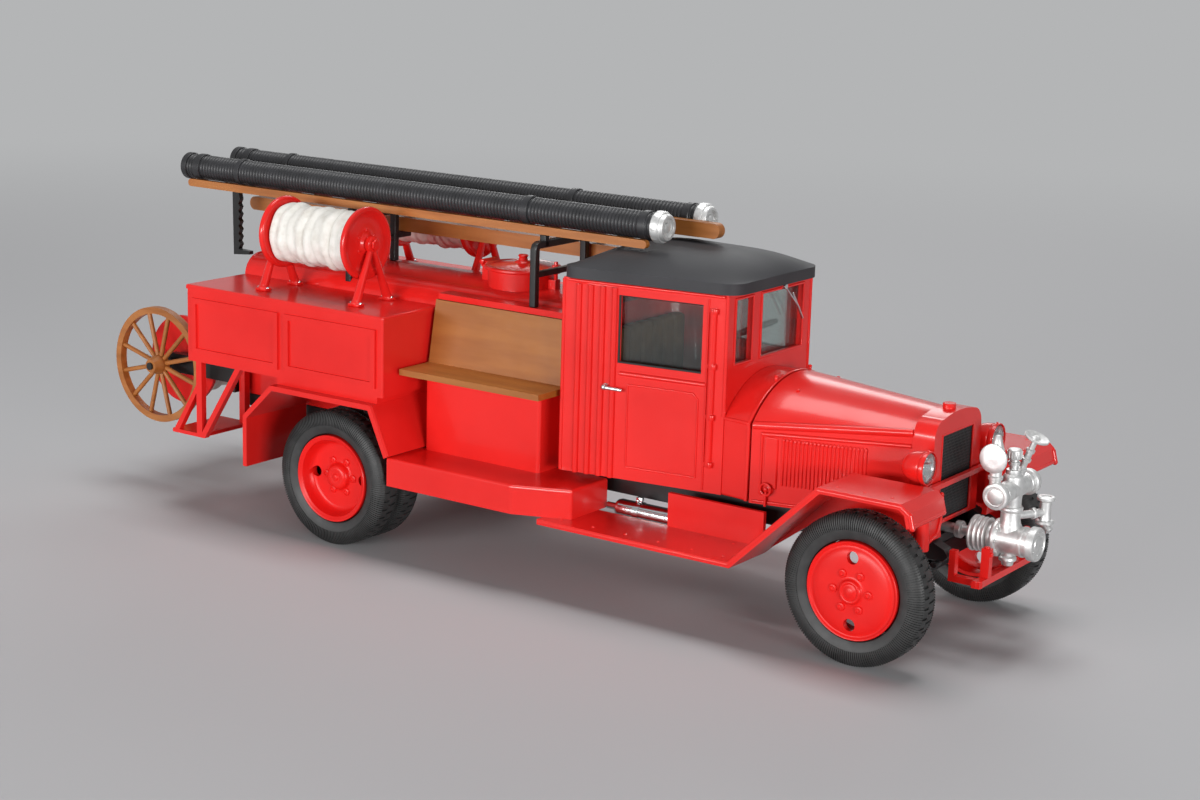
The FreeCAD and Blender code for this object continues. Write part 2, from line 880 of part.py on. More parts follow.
def make_axles():
    """The front beam and the rear case, each bored for its wheel rod."""
    bore = D.axle_rod_radius + D.running_gap
    half = D.beam_height / 2
    drop = D.beam_height * 0.35
    centre = D.tyre_radius
    outline = [
        (-D.beam_half, centre - half),
        (-D.spring_y - D.spring_width, centre - half),
        (-D.spring_y + D.spring_width, centre - half - drop),
        (D.spring_y - D.spring_width, centre - half - drop),
        (D.spring_y + D.spring_width, centre - half),
        (D.beam_half, centre - half),
        (D.beam_half, centre + half),
        (-D.beam_half, centre + half),
    ]
    beam = prism("beam", "YZ", D.wheelbase - D.beam_length / 2,
                 D.wheelbase + D.beam_length / 2, outline)
    hole = rod("beam_bore", "Y", (D.wheelbase, -D.beam_half - D.cut_over, centre),
               (D.beam_half + D.cut_over) * 2, bore)
    node("front_axle_beam", cut("beam_cut", beam, hole))
    edge = D.case_radius - D.case_tube_radius
    path = [
        (bore, -D.case_half),
        (D.case_tube_radius, -D.case_half),
        (D.case_tube_radius, -D.case_half_width),
        (D.case_radius, -D.case_half_width + edge),
        (D.case_radius, D.case_half_width - edge),
        (D.case_tube_radius, D.case_half_width),
        (D.case_tube_radius, D.case_half),
        (bore, D.case_half),
    ]
    case = turned("rear_case", "XY", "V_Axis", path)
    node("rear_axle_case", place(case, ZERO, ZERO, D.tyre_radius))


def spring_pack(name, middle, half, y, bottom, top, rise):
    """Stacked leaves, the top one longest, bowed up at both ends."""
    leaves = []
    count = 3
    for layer in range(count):
        reach = half * (1 - 0.25 * (count - 1 - layer))
        low = bottom + D.spring_leaf * layer
        lift = rise * (reach / half) * (reach / half)
        flat = half * 0.2
        leaves.append([
            (middle - reach, low + lift),
            (middle - flat, low),
            (middle + flat, low),
            (middle + reach, low + lift),
            (middle + reach, low + lift + D.spring_leaf),
            (middle + flat, low + D.spring_leaf),
            (middle - flat, low + D.spring_leaf),
            (middle - reach, low + lift + D.spring_leaf),
        ])
    pieces = []
    for layer, outline in enumerate(leaves):
        pieces.append(prism(f"{name}_leaf_{layer}", "XZ", -y - D.spring_width / 2,
                            D.spring_width / 2 - y, outline))
    seat_half = D.spring_width * 0.8
    pieces.append(box(f"{name}_clamp", (middle - seat_half, -y - D.spring_width * 0.6, bottom),
                      (middle + seat_half, D.spring_width * 0.6 - y,
                       top)))
    return fuse(name, *pieces)


def make_springs():
    low = D.frame_top - D.frame_rail_height
    beam_top = D.tyre_radius + D.beam_height / 2
    stack = D.spring_leaf * 3
    front = spring_pack("front_spring", D.wheelbase, D.spring_front_half, D.spring_y,
                        beam_top, beam_top + stack + D.spring_leaf / 2,
                        low - beam_top - stack)
    node("front_springs", both_sides("front_spring_pair", front))
    case_top = D.tyre_radius + D.case_tube_radius
    rear = spring_pack("rear_spring", ZERO, D.spring_rear_half, D.rear_spring_y,
                       case_top, case_top + stack + D.spring_leaf, D.spring_rise)
    hangers = []
    for side in (-1, 1):
        x = side * (D.spring_rear_half - D.spring_width / 2)
        hangers.append(box(f"rear_hanger_{side + 1}",
                           (x - D.spring_width / 2, -D.rear_spring_y - D.spring_width / 2,
                            case_top + D.spring_rise),
                           (x + D.spring_width / 2,
                            -D.frame_rail_y - D.frame_rail_width / 2,
                            D.frame_top - D.frame_rail_wall)))
    rear_whole = fuse("rear_spring_hung", rear, *hangers)
    node("rear_springs", both_sides("rear_spring_pair", rear_whole))


def make_driveline():
    """Engine block, gearbox and the shaft back to the rear axle case."""
    centre = D.gearbox_z
    block = box("engine_block", (D.sump_rear_x, -D.sump_half, D.sump_bottom),
                (D.sump_front_x, D.sump_half, D.engine_top))
    gearbox = box("gearbox", (D.gearbox_rear_x, -D.gearbox_half, centre - D.gearbox_height / 2),
                  (D.sump_rear_x, D.gearbox_half, centre + D.gearbox_height / 2))
    node("engine_and_gearbox", fuse("engine_fused", block, gearbox))
    start_x = D.case_radius + D.seat_gap
    drop = centre - D.tyre_radius
    run = D.gearbox_rear_x - D.seat_gap - start_x
    tilt = math.degrees(math.atan2(number_of(drop), number_of(run)))
    shaft = DOC.addObject("Part::Cylinder", "shaft")
    bind(shaft, "Radius", D.shaft_radius)
    shaft.setExpression("Height", f"sqrt({(run * run + drop * drop).text})")
    turn = FreeCAD.Rotation(FreeCAD.Vector(0, 1, 0), 90 - tilt)
    place(shaft, start_x, ZERO, D.tyre_radius, turn)
    node("drive_shaft", shaft)


def make_silencer():
    x_low = D.silencer_rear_x
    x_high = D.silencer_front_x
    body = turned("silencer_drum", "XZ", "H_Axis", [
        (x_low - D.silencer_end * 2, ZERO),
        (x_high + D.silencer_end * 2, ZERO),
        (x_high + D.silencer_end * 2, D.silencer_pipe_radius),
        (x_high + D.silencer_end, D.silencer_pipe_radius),
        (x_high, D.silencer_radius),
        (x_low, D.silencer_radius),
        (x_low - D.silencer_end, D.silencer_pipe_radius),
        (x_low - D.silencer_end * 2, D.silencer_pipe_radius),
    ])
    place(body, ZERO, -D.silencer_y, D.silencer_z)
    outer = D.frame_rail_y + D.frame_rail_width / 2
    low = D.frame_top - D.frame_rail_height
    hangers = [box(f"silencer_hanger_{count}",
                   (x - D.silencer_pipe_radius, -D.silencer_y, D.silencer_z),
                   (x + D.silencer_pipe_radius, -outer, low + D.frame_rail_wall))
               for count, x in enumerate((x_low + D.silencer_end, x_high - D.silencer_end))]
    node("silencer", fuse("silencer_fused", body, *hangers))


def offset_path(points, thick):
    """The lower side of a bent sheet, worked out from its upper side."""
    lower = []
    count = len(points)
    for place_in, (x, z) in enumerate(points):
        before = points[max(place_in - 1, 0)]
        after = points[min(place_in + 1, count - 1)]
        here = (number_of(x), number_of(z))
        turns = []
        for a, b in ((before, (x, z)), ((x, z), after)):
            dx = number_of(b[0]) - number_of(a[0])
            dz = number_of(b[1]) - number_of(a[1])
            length = math.hypot(dx, dz)
            if length > 0:
                turns.append((dz / length, -dx / length))
        nx = sum(t[0] for t in turns) / len(turns)
        nz = sum(t[1] for t in turns) / len(turns)
        stretch = nx * nx + nz * nz
        lower.append((as_size(x) + thick * (nx / stretch), as_size(z) + thick * (nz / stretch)))
    return lower


def bent_sheet(name, points, thick, low, high):
    """A sheet bent along a line of points, between two levels across the model."""
    outline = [(as_size(x), as_size(z)) for x, z in points]
    outline += list(reversed(offset_path(points, thick)))
    return prism(name, "XZ", low, high, outline)


def make_front_guards():
    """Running board, front guard, inner valance and the apron beside the radiator."""
    top = D.guard_top
    points = [
        (D.board_rear_x, D.board_top),
        (D.guard_low_x, D.board_top),
        (D.guard_rise_x, top),
        (D.guard_front_x, top),
        (D.guard_nose_x, top - D.guard_nose_drop),
        (D.guard_lip_x, top - D.guard_lip_drop),
    ]
    guard = bent_sheet("guard", points, D.guard_thick, -D.guard_outer, -D.guard_inner)
    inner = D.guard_inner
    reach = D.wheelbase - D.tyre_radius
    valance = prism("valance", "XZ", -inner - D.valance_thick, -inner, [
        (D.valance_rear_x, D.board_top - D.guard_thick),
        (D.guard_low_x, D.board_top - D.guard_thick),
        (reach, D.valance_bottom),
        (D.apron_x, D.valance_bottom),
        (D.apron_x, top - D.guard_thick / 2),
        (D.guard_rise_x, top - D.guard_thick / 2),
        (D.guard_low_x, D.board_top - D.guard_thick / 2),
        (D.valance_rear_x, D.board_top - D.guard_thick / 2),
    ])
    apron = prism("apron", "YZ", D.apron_x - D.apron_thick, D.apron_x, [
        (-inner, D.apron_top),
        (-inner, D.valance_bottom + D.apron_roll_radius),
        (-D.frame_rail_y - D.frame_rail_width / 2, D.frame_top - D.apron_seat),
        (-D.frame_rail_y + D.frame_rail_width / 2, D.frame_top - D.apron_seat),
        (-D.apron_inner, D.valance_bottom + D.apron_roll_radius * 3),
        (-D.apron_inner, D.apron_top),
    ])
    roll = rod("apron_roll", "Z", (D.apron_x - D.apron_roll_radius, -inner, D.valance_bottom),
               D.apron_top - D.valance_bottom, D.apron_roll_radius)
    skirt = prism("skirt", "XZ", -D.skirt_y - D.valance_thick, -D.skirt_y, [
        (D.skirt_rear_x, D.board_top - D.guard_thick / 2),
        (D.guard_low_x, D.board_top - D.guard_thick / 2),
        (D.guard_low_x, D.skirt_top),
        (D.skirt_rear_x, D.skirt_top),
    ])
    whole = fuse("guard_side", guard, valance, apron, roll, skirt)
    node("front_guards_and_boards", both_sides("guard_pair", whole))


def top_arc(half, shoulder, crown):
    """Radius of the arc that passes both shoulders and the crown."""
    rise = crown - shoulder
    return (half * half + rise * rise) / (2 * rise)


def hood_section(half, bottom, shoulder, crown):
    """Section with upright sides and a crowned top, looking along the model."""
    return [
        (-half, bottom),
        (half, bottom),
        (half, shoulder, top_arc(half, shoulder, crown)),
        (-half, shoulder),
    ]


def loft(body, name, sections, cutting=False):
    sketches = []
    for count, (level, path) in enumerate(sections):
        sketch = new_sketch(body, "YZ", level, f"{name}_section_{count}")
        draw(sketch, path)
        sketches.append(sketch)
    kind = "PartDesign::SubtractiveLoft" if cutting else "PartDesign::AdditiveLoft"
    feature = body.newObject(kind, name)
    feature.Profile = sketches[0]
    feature.Sections = sketches[1:]
    feature.Ruled = True
    return feature


# Where the roof's sections stand, from the rear end at -1 to the front end at 1.
ROOF_SECTION_SHARES = (-1, -0.93, -0.6, 0, 0.6, 0.93, 1)


def make_cab():
    """Hollow cab box with the cowl ahead of it and its windows cut."""
    cab = new_body("cab")
    plan = new_sketch(cab, "XY", D.cab_bottom, "cab_plan")
    draw(plan, cab_plan(D.cab_rear_x, D.cab_front_x, ZERO))
    pad(cab, plan, D.cab_top - D.cab_bottom)
    loft(cab, "cowl", [
        (D.cab_front_x - D.cab_wall / 2, hood_section(
            D.cab_front_half, D.cab_bottom, D.scuttle_shoulder, D.scuttle_crown)),
        (D.cowl_front_x, hood_section(
            D.cowl_half, D.cab_bottom, D.cowl_shoulder, D.cowl_crown)),
    ])
    floor = D.cab_bottom + D.cab_floor
    rear = D.cab_rear_x + D.cab_wall
    front = D.cab_front_x - D.cab_wall
    cut_prism(cab, "cab_room", "XY", floor, D.cab_top + D.cut_over,
              cab_plan(rear, front, D.cab_wall))
    foot_half = D.cab_front_half - D.cab_wall * 2
    cut_prism(cab, "cab_footwell", "XY", floor, D.cowl_shoulder - D.cab_wall,
              rectangle((front - D.cut_over, -foot_half),
                        (D.cowl_front_x - D.cab_wall, foot_half)))
    side = D.cab_rear_half + D.cut_over
    cut_prism(cab, "door_glass", "XZ", -side, side,
              rectangle((D.door_glass_rear_x, D.glass_bottom),
                        (D.door_glass_front_x, D.glass_top)))
    cut_prism(cab, "screen_glass", "YZ", front - D.cut_over, D.cab_front_x + D.cut_over,
              rectangle((-D.screen_near_y, D.screen_bottom),
                        (-D.screen_post_near_y, D.screen_top)),
              rectangle((-D.screen_post_far_y, D.screen_bottom),
                        (D.screen_far_y, D.screen_top)))
    cut_prism(cab, "rear_glass", "YZ", D.cab_rear_x - D.cut_over, rear + D.cut_over,
              rectangle((-D.rear_glass_half, D.rear_glass_bottom),
                        (D.rear_glass_half, D.glass_top)))
    ribs = []
    for count in range(4):
        x = D.rib_first_x + D.rib_pitch * count
        ribs.append(rod(f"rib_{count}", "Z", (x, -cab_half(x), D.cab_bottom),
                        D.cab_top - D.rib_margin - D.cab_bottom, D.rib_radius))
    ribs.append(rod("hinge_strip", "Z", (D.hinge_x, -cab_half(D.hinge_x), D.hinge_bottom),
                    D.hinge_top - D.hinge_bottom, D.hinge_radius))
    right = group("cab_ribs", *ribs)
    whole = fuse("cab_fused", cab, *ribs, mirrored("cab_ribs_left", right))
    way = tilted(column_rod("column_way", D.column_radius + D.column_gap))
    node("cab_shell", cut("cab_cut", whole, way))


def glass_side(name, rear, front, low, high):
    """A pane against the inner face of the right side wall."""
    inner = D.cab_wall
    far = inner + D.glass_thick
    return prism(name, "XY", low, high, [
        (rear, -cab_half(rear, inner)), (front, -cab_half(front, inner)),
        (front, -cab_half(front, far)), (rear, -cab_half(rear, far))])


def make_glazing():
    lap = D.glass_lap
    low = D.glass_bottom - lap
    high = D.glass_top + lap
    side = glass_side("side_pane", D.door_glass_rear_x - lap, D.door_glass_front_x + lap,
                      low, high)
    front = D.cab_front_x - D.cab_wall
    reach = D.cab_front_half - D.cab_wall * 2
    screen = box("screen_pane", (front - D.glass_thick, -reach, D.screen_bottom - lap),
                 (front, reach, D.screen_top + lap / 2))
    rear = D.cab_rear_x + D.cab_wall
    back = box("rear_pane", (rear, -D.rear_glass_half - lap, D.rear_glass_bottom - lap),
               (rear + D.glass_thick, D.rear_glass_half + lap, high))
    node("cab_glazing", group("glazing", both_sides("side_panes", side), screen, back))


def make_roof():
    """Dark roof: the cab's plan with an overhang, crowned both ways."""
    rear = D.cab_rear_x - D.roof_over
    front = D.cab_front_x + D.roof_front_over
    middle = (rear + front) / 2
    reach = (front - rear) / 2
    rim = D.cab_top + D.roof_rim
    sections = []
    for share in ROOF_SECTION_SHARES:
        x = middle + reach * share
        half = cab_half(x, -D.roof_over)
        crown = D.roof_crown - D.roof_end_drop * (share * share)
        if abs(share) == 1:
            half = half - D.roof_round
            crown = crown - D.roof_round
        sections.append((x, hood_section(half, D.cab_top, rim, crown)))
    roof = new_body("roof")
    loft(roof, "roof_loft", sections)
    node("cab_roof", roof)


def make_cab_inside():
    floor = D.cab_bottom + D.cab_floor
    cushion = box("cushion", (D.seat_rear_x, -D.seat_half, floor),
                  (D.seat_front_x, D.seat_half, D.seat_top))
    back = box("seat_back", (D.seat_rear_x, -D.seat_half, D.seat_top),
               (D.seat_rear_x + D.seat_back_thick, D.seat_half, D.seat_back_top))
    node("cab_seat", fuse("seat_fused", cushion, back))
    front = D.cab_front_x - D.cab_wall
    half = D.cab_front_half - D.cab_wall * 1.5
    node("dashboard", box("dash", (D.dash_x, -half, D.dash_bottom),
                          (front, half, D.dash_top)))


def column_drop():
    return D.wheel_centre_z - D.cab_bottom - D.cab_floor - D.column_radius


def column_tilt():
    """Angle from upright at which the column reaches its foot on the cab floor."""
    return math.atan2(number_of(D.column_foot_x - D.wheel_centre_x), number_of(column_drop()))


def column_rod(name, radius):
    """Upright steering column from the wheel's centre down to the cab floor."""
    length = column_drop() * (1 / math.cos(column_tilt()))
    return rod(name, "Z", (ZERO, ZERO, -length), length, radius)


def tilted(upright):
    """Turns a steering piece to the column's tilt, at the wheel's centre."""
    turn = FreeCAD.Rotation(FreeCAD.Vector(0, 1, 0), -math.degrees(column_tilt()))
    whole = group(upright.Name + "_tilted", upright)
    whole.Placement = FreeCAD.Placement(FreeCAD.Vector(), turn)
    return place(whole, D.wheel_centre_x, D.wheel_y, D.wheel_centre_z)


def make_steering():
    """Ring, spokes and a column that runs down to the cab floor."""
    ring = DOC.addObject("Part::Torus", "steer_ring")
    bind(ring, "Radius1", D.wheel_ring_radius)
    bind(ring, "Radius2", D.wheel_ring_tube)
    tube = D.wheel_ring_tube
    across = rod("steer_spoke_a", "X", (-D.wheel_ring_radius, ZERO, ZERO),
                 D.wheel_ring_radius * 2, tube * 0.8)
    along = rod("steer_spoke_b", "Y", (ZERO, -D.wheel_ring_radius, ZERO),
                D.wheel_ring_radius * 2, tube * 0.8)
    hub = rod("steer_hub", "Z", (ZERO, ZERO, -tube), tube * 2.5, D.column_radius * 2)
    column = column_rod("steer_column", D.column_radius)
    node("steering_wheel", tilted(fuse("steer_fused", ring, across, along, column, hub)))


def make_handles():
    y = cab_half(D.handle_x)
    stand = D.rib_radius + D.handle_stand
    stem = rod("handle_stem", "Y", (D.handle_x, -y - stand, D.handle_z), stand,
               D.handle_radius * 0.8)
    grip = rod("handle_grip", "X", (D.handle_x + D.handle_radius - D.handle_length,
                                    -y - stand, D.handle_z),
               D.handle_length, D.handle_radius)
    node("door_handles", both_sides("handle_pair", fuse("handle", stem, grip)))


def make_bonnet():
    """Tapered bonnet with a crowned top, open below, louvres on both sides."""
    rear = D.cowl_front_x + D.bonnet_gap
    wall = D.bonnet_wall
    bonnet = new_body("bonnet_skin")
    loft(bonnet, "bonnet_outer", [
        (rear, hood_section(D.cowl_half, D.bonnet_bottom, D.cowl_shoulder, D.cowl_crown)),
        (D.bonnet_front_x, hood_section(D.bonnet_front_half, D.bonnet_bottom,
                                        D.bonnet_front_shoulder, D.bonnet_front_crown)),
    ])
    loft(bonnet, "bonnet_inner", [
        (rear + wall, hood_section(D.cowl_half - wall * 1.5, D.bonnet_bottom - D.cut_over,
                                   D.cowl_shoulder - wall, D.cowl_crown - wall * 1.5)),
        (D.bonnet_front_x - wall, hood_section(
            D.bonnet_front_half - wall, D.bonnet_bottom - D.cut_over,
            D.bonnet_front_shoulder - wall * 1.5, D.bonnet_front_crown - wall)),
    ], cutting=True)

    def side(x):
        share = (x - rear) / (D.bonnet_front_x - rear)
        return D.cowl_half - share * (D.cowl_half - D.bonnet_front_half)

    ribs = []
    count = int(number_of(D.louvre_count))
    pitch = (D.louvre_last_x - D.louvre_first_x) / (D.louvre_count - 1)
    for place_in in range(count):
        x = D.louvre_first_x + pitch * place_in
        ribs.append(rod(f"louvre_{place_in}", "Z", (x, -side(x), D.louvre_bottom),
                        D.louvre_top - D.louvre_bottom, D.louvre_radius))
    right = group("louvres", *ribs)
    node("bonnet", fuse("bonnet_fused", bonnet, right, mirrored("louvres_left", right)))


def make_radiator():
    half = D.bonnet_front_half + D.shell_over
    top = D.bonnet_front_crown + D.shell_over
    shoulder = top - D.shell_round
    inner = half - D.shell_round
    arch_radius = top_arc(inner, ZERO, D.shell_arch)
    outline = [
        (-half, D.shell_bottom),
        (half, D.shell_bottom),
        (half, shoulder - D.shell_arch, D.shell_round),
        (inner, top - D.shell_arch, arch_radius),
        (-inner, top - D.shell_arch, D.shell_round),
        (-half, shoulder - D.shell_arch),
    ]
    shell = prism("shell", "YZ", D.bonnet_front_x, D.shell_front_x, outline)
    opening = rectangle((-D.core_half, D.core_bottom), (D.core_half, D.core_top))
    cut_prism(shell, "shell_mouth", "YZ", D.shell_front_x - D.core_depth,
              D.shell_front_x + D.cut_over, opening)
    middle = (D.bonnet_front_x + D.shell_front_x) / 2
    cap = rod("filler_cap", "Z", (middle, ZERO, top - D.shell_arch),
              D.cap_height + D.shell_arch, D.cap_radius)
    node("radiator_shell", fuse("shell_fused", shell, cap))
    back = D.shell_front_x - D.core_depth
    edge = D.seat_gap
    plate = box("core_plate", (back, edge - D.core_half, D.core_bottom + edge),
                (back + D.core_plate, D.core_half - edge, D.core_top - edge))
    slats = []
    pitch = (D.core_half * 2 - D.core_slat_width * 2) / (D.core_slat_count - 1)
    for count in range(int(number_of(D.core_slat_count))):
        y = D.core_slat_width / 2 - D.core_half + D.core_slat_width / 2 + pitch * count
        slats.append(box(f"slat_{count}",
                         (back + D.core_plate, y - D.core_slat_width / 2,
                          D.core_bottom + edge * 2),
                         (back + D.core_plate + D.core_slat_proud,
                          y + D.core_slat_width / 2, D.core_top - edge * 2)))
    node("radiator_core", fuse("core_fused", plate, *slats))


def make_lamps():
    """Drum lamps with a domed back, each on a post from the tie bar."""
    half = D.lamp_radius
    rear = -D.lamp_length
    lens = D.lens_radius
    seat = lens + D.seat_gap
    bowl = turned("lamp_bowl", "XZ", "H_Axis", [
        (rear, ZERO),
        (-D.lens_inset, ZERO),
        (-D.lens_inset, seat),
        (ZERO, seat),
        (ZERO, half),
        (-D.lamp_rim, half),
        (-D.lamp_rim, half - D.lamp_wall / 2),
        (-D.lamp_rim * 3, half - D.lamp_wall / 2, D.lamp_length),
        (rear, half * 0.35),
    ])
    place(bowl, D.lamp_x, -D.lamp_y, D.lamp_z)
    bar_top = D.bar_z + D.bar_height / 2
    bar_x = D.apron_x - D.apron_thick - D.bar_depth
    post = rod("lamp_post", "Z", (bar_x + D.bar_depth / 2, -D.lamp_y, bar_top),
               D.lamp_z - bar_top - half + D.lamp_wall / 2, D.lamp_post_radius)
    node("headlamp_bowls", both_sides("lamp_pair", fuse("lamp", bowl, post)))
    flat = lens * LENS_FLAT_SHARE
    bulge = (lens * lens + D.lens_bulge * D.lens_bulge) / (2 * D.lens_bulge)
    glass = turned("lamp_lens", "XZ", "H_Axis", [
        (-D.lens_inset, ZERO),
        (D.lens_bulge, ZERO),
        (D.lens_bulge, flat, -bulge),
        (ZERO, lens),
        (-D.lens_inset, lens),
    ])
    place(glass, D.lamp_x, -D.lamp_y, D.lamp_z)
    node("headlamp_lenses", both_sides("lens_pair", glass))
    node("headlamp_bar", box("lamp_bar", (bar_x, -D.guard_inner, D.bar_z - D.bar_height / 2),
                             (bar_x + D.bar_depth, D.guard_inner, bar_top)))


def make_tank():
    """Water tank between the lockers, rounded along its top edges."""
    front = D.cab_rear_x - D.tank_front_gap
    top = D.tank_shoulder + D.tank_corner
    inner = D.tank_half - D.tank_corner
    tank = prism("tank", "YZ", D.tank_rear_x, front, [
        (-D.tank_half, D.tank_bottom),
        (D.tank_half, D.tank_bottom),
        (D.tank_half, D.tank_shoulder, D.tank_corner),
        (inner, top, top_arc(inner, top, D.tank_top)),
        (-inner, top, D.tank_corner),
        (-D.tank_half, D.tank_shoulder),
    ])
    ledge = prism("ledge", "YZ", D.ledge_rear_x, front, [
        (-D.ledge_outer, D.ledge_top - D.ledge_thick),
        (D.tank_corner - D.tank_half, D.ledge_top - D.ledge_thick),
        (D.tank_corner - D.tank_half, D.ledge_top),
        (-D.ledge_outer, D.ledge_top),
    ])
    node("water_tank", fuse("tank_fused", tank, ledge, mirrored("ledge_left", ledge)))


def make_hatch():
    """Filler neck with its lid, and a knob on the lid."""
    edge = D.hatch_lid_thick
    body = turned("hatch", "XZ", "V_Axis", [
        (ZERO, D.hatch_base),
        (D.hatch_radius, D.hatch_base),
        (D.hatch_radius, D.hatch_top - edge),
        (D.hatch_lid_radius, D.hatch_top - edge),
        (D.hatch_lid_radius, D.hatch_top - edge * 0.3),
        (D.hatch_lid_radius - edge * 0.4, D.hatch_top),
        (ZERO, D.hatch_top),
    ])
    place(body, D.hatch_x, ZERO, ZERO)
    saddle = box("hatch_saddle", (D.hatch_x - D.hatch_lid_radius, -D.hatch_lid_radius,
                                  D.hatch_base - D.cut_over),
                 (D.hatch_x + D.hatch_lid_radius, D.hatch_lid_radius, D.tank_top))
    node("filler_hatch", cut("hatch_cut", body, copy_of("tank_for_hatch", "tank")))


def copy_of(name, source):
    """A second reference to an earlier solid, used as a cutting shape."""
    twin = DOC.addObject("Part::Compound", name)
    twin.Links = [DOC.getObject(source)]
    return twin


def make_lockers():
    """Side lockers with a flat lid and two framed panels on the outer face."""
    inner = D.tank_half
    lid_low = D.locker_top - D.locker_lid
    over = D.locker_lid_over
    body = box("locker_box", (D.tank_rear_x, -D.locker_outer, D.locker_bottom),
               (D.locker_front_x, -inner, lid_low))
    lid = box("locker_lid", (D.tank_rear_x - over, -D.locker_outer - over, lid_low),
              (D.locker_front_x + over, -inner, D.locker_top))
    middle = (D.tank_rear_x + D.locker_front_x) / 2
    spans = ((D.tank_rear_x + D.panel_margin, middle - D.panel_margin / 2),
             (middle + D.panel_margin / 2, D.locker_front_x - D.panel_margin))
    low = D.locker_bottom + D.panel_margin
    high = lid_low - D.panel_margin
    frame = D.panel_frame
    panels = []
    for count, (start, stop) in enumerate(spans):
        panels.append(prism(f"panel_{count}", "XZ", -D.locker_outer - D.panel_proud,
                            -D.locker_outer + D.panel_proud,
                            rectangle((start, low), (stop, high)),
                            rectangle((start + frame, low + frame),
                                      (stop - frame, high - frame))))
    node("lockers", both_sides("locker_pair", fuse("locker", body, lid, *panels)))


def make_rear_guards():
    """Angular rear wheel guards: a bent sheet, open below, on each side."""
    points = [
        (D.arch_rear_x, D.arch_rear_low),
        (D.arch_rear_x, D.arch_rear_bend),
        (D.arch_top_rear_x, D.arch_top),
        (D.arch_top_front_x, D.arch_top),
        (D.arch_front_x, D.arch_front_low),
    ]
    sheet = bent_sheet("rear_guard", points, D.arch_thick, -D.arch_outer, -D.arch_inner)
    riser = box("guard_riser", (D.arch_top_rear_x, -D.arch_outer + D.arch_thick * 2,
                                D.arch_top - D.arch_thick / 2),
                (D.arch_top_front_x, -D.arch_inner, D.locker_bottom))
    node("rear_guards", both_sides("rear_guard_pair", fuse("rear_guard_side", sheet, riser)))


def make_steps_and_benches():
    """Box steps behind the cab, and the crew benches that stand on them."""
    step = prism("step", "XY", D.board_top, D.step_top, [
        (D.step_rear_x, -D.step_outer),
        (D.step_corner_x, -D.step_outer),
        (D.step_front_x, -D.step_front_outer),
        (D.step_front_x, -D.step_inner),
        (D.step_rear_x, -D.step_inner),
    ])
    wall = D.step_wall
    cut_prism(step, "step_hollow", "XY", D.board_top - D.cut_over, D.step_top - wall, [
        (D.step_rear_x + wall, wall - D.step_outer),
        (D.step_corner_x - wall / 2, wall - D.step_outer),
        (D.board_rear_x - wall, wall * 2 - D.step_outer),
        (D.board_rear_x - wall, -D.step_inner - wall),
        (D.step_rear_x + wall, -D.step_inner - wall),
    ])
    node("side_steps", both_sides("step_pair", step))
    bench = box("bench", (D.bench_step_x, -D.bench_outer, D.step_top),
                (D.bench_front_x, -D.tank_half, D.bench_top))
    node("bench_boxes", both_sides("bench_pair", bench))
    top = D.bench_top + D.seat_board_thick
    seat = box("seat_board", (D.seat_board_rear_x, -D.seat_board_outer, D.bench_top),
               (D.seat_board_front_x, -D.tank_half, top))
    head = D.back_board_head - D.back_board_thick
    back = prism("back_board", "YZ", D.seat_board_rear_x, D.seat_board_front_x, [
        (-D.back_board_foot, top - D.seat_board_thick / 2),
        (D.back_board_thick - D.back_board_foot, top - D.seat_board_thick / 2),
        (-head, D.back_board_top),
        (-D.back_board_head, D.back_board_top),
    ])
    node("bench_seats", both_sides("seat_pair", fuse("seat_side", seat, back)))


def make_reels():
    """Hose reels along the lockers: drum, wound hose and their stands."""
    front = D.reel_front_x
    rear = D.reel_rear_x
    thick = D.reel_disc_thick
    pin_reach = D.stand_gap + D.stand_thick
    radius = D.reel_disc_radius
    step = (front - rear - thick * 2) / D.reel_coil_count
    for side, sign in (("right", -1), ("left", 1)):
        drum = turned(f"drum_{side}", "XZ", "H_Axis", [
            (rear - pin_reach, ZERO),
            (front + pin_reach, ZERO),
            (front + pin_reach, D.reel_pin_radius),
            (front, D.reel_pin_radius),
            (front, radius),
            (front - thick, radius),
            (front - thick, D.reel_core_radius),
            (rear + thick, D.reel_core_radius),
            (rear + thick, radius),
            (rear, radius),
            (rear, D.reel_pin_radius),
            (rear - pin_reach, D.reel_pin_radius),
        ])
        node(f"reel_drum_{side}", place(drum, ZERO, D.reel_y * sign, D.reel_z))
        low = rear + thick
        path = [(low, D.reel_core_radius), (front - thick, D.reel_core_radius)]
        valley = D.reel_coil_radius - D.reel_coil_wave
        bulge = top_arc(step / 2, ZERO, D.reel_coil_wave)
        for count in range(int(number_of(D.reel_coil_count)), 0, -1):
            path.append((low + step * count, valley, bulge))
        path.append((low, valley))
        coil = turned(f"coil_{side}", "XZ", "H_Axis", path)
        node(f"reel_hose_{side}", place(coil, ZERO, D.reel_y * sign, D.reel_z))
    stands = [make_stand("front_stand", front + D.stand_gap),
              make_stand("rear_stand", rear - D.stand_gap - D.stand_thick)]
    node("reel_stands", both_sides("stand_pair", group("stand_side", *stands)))


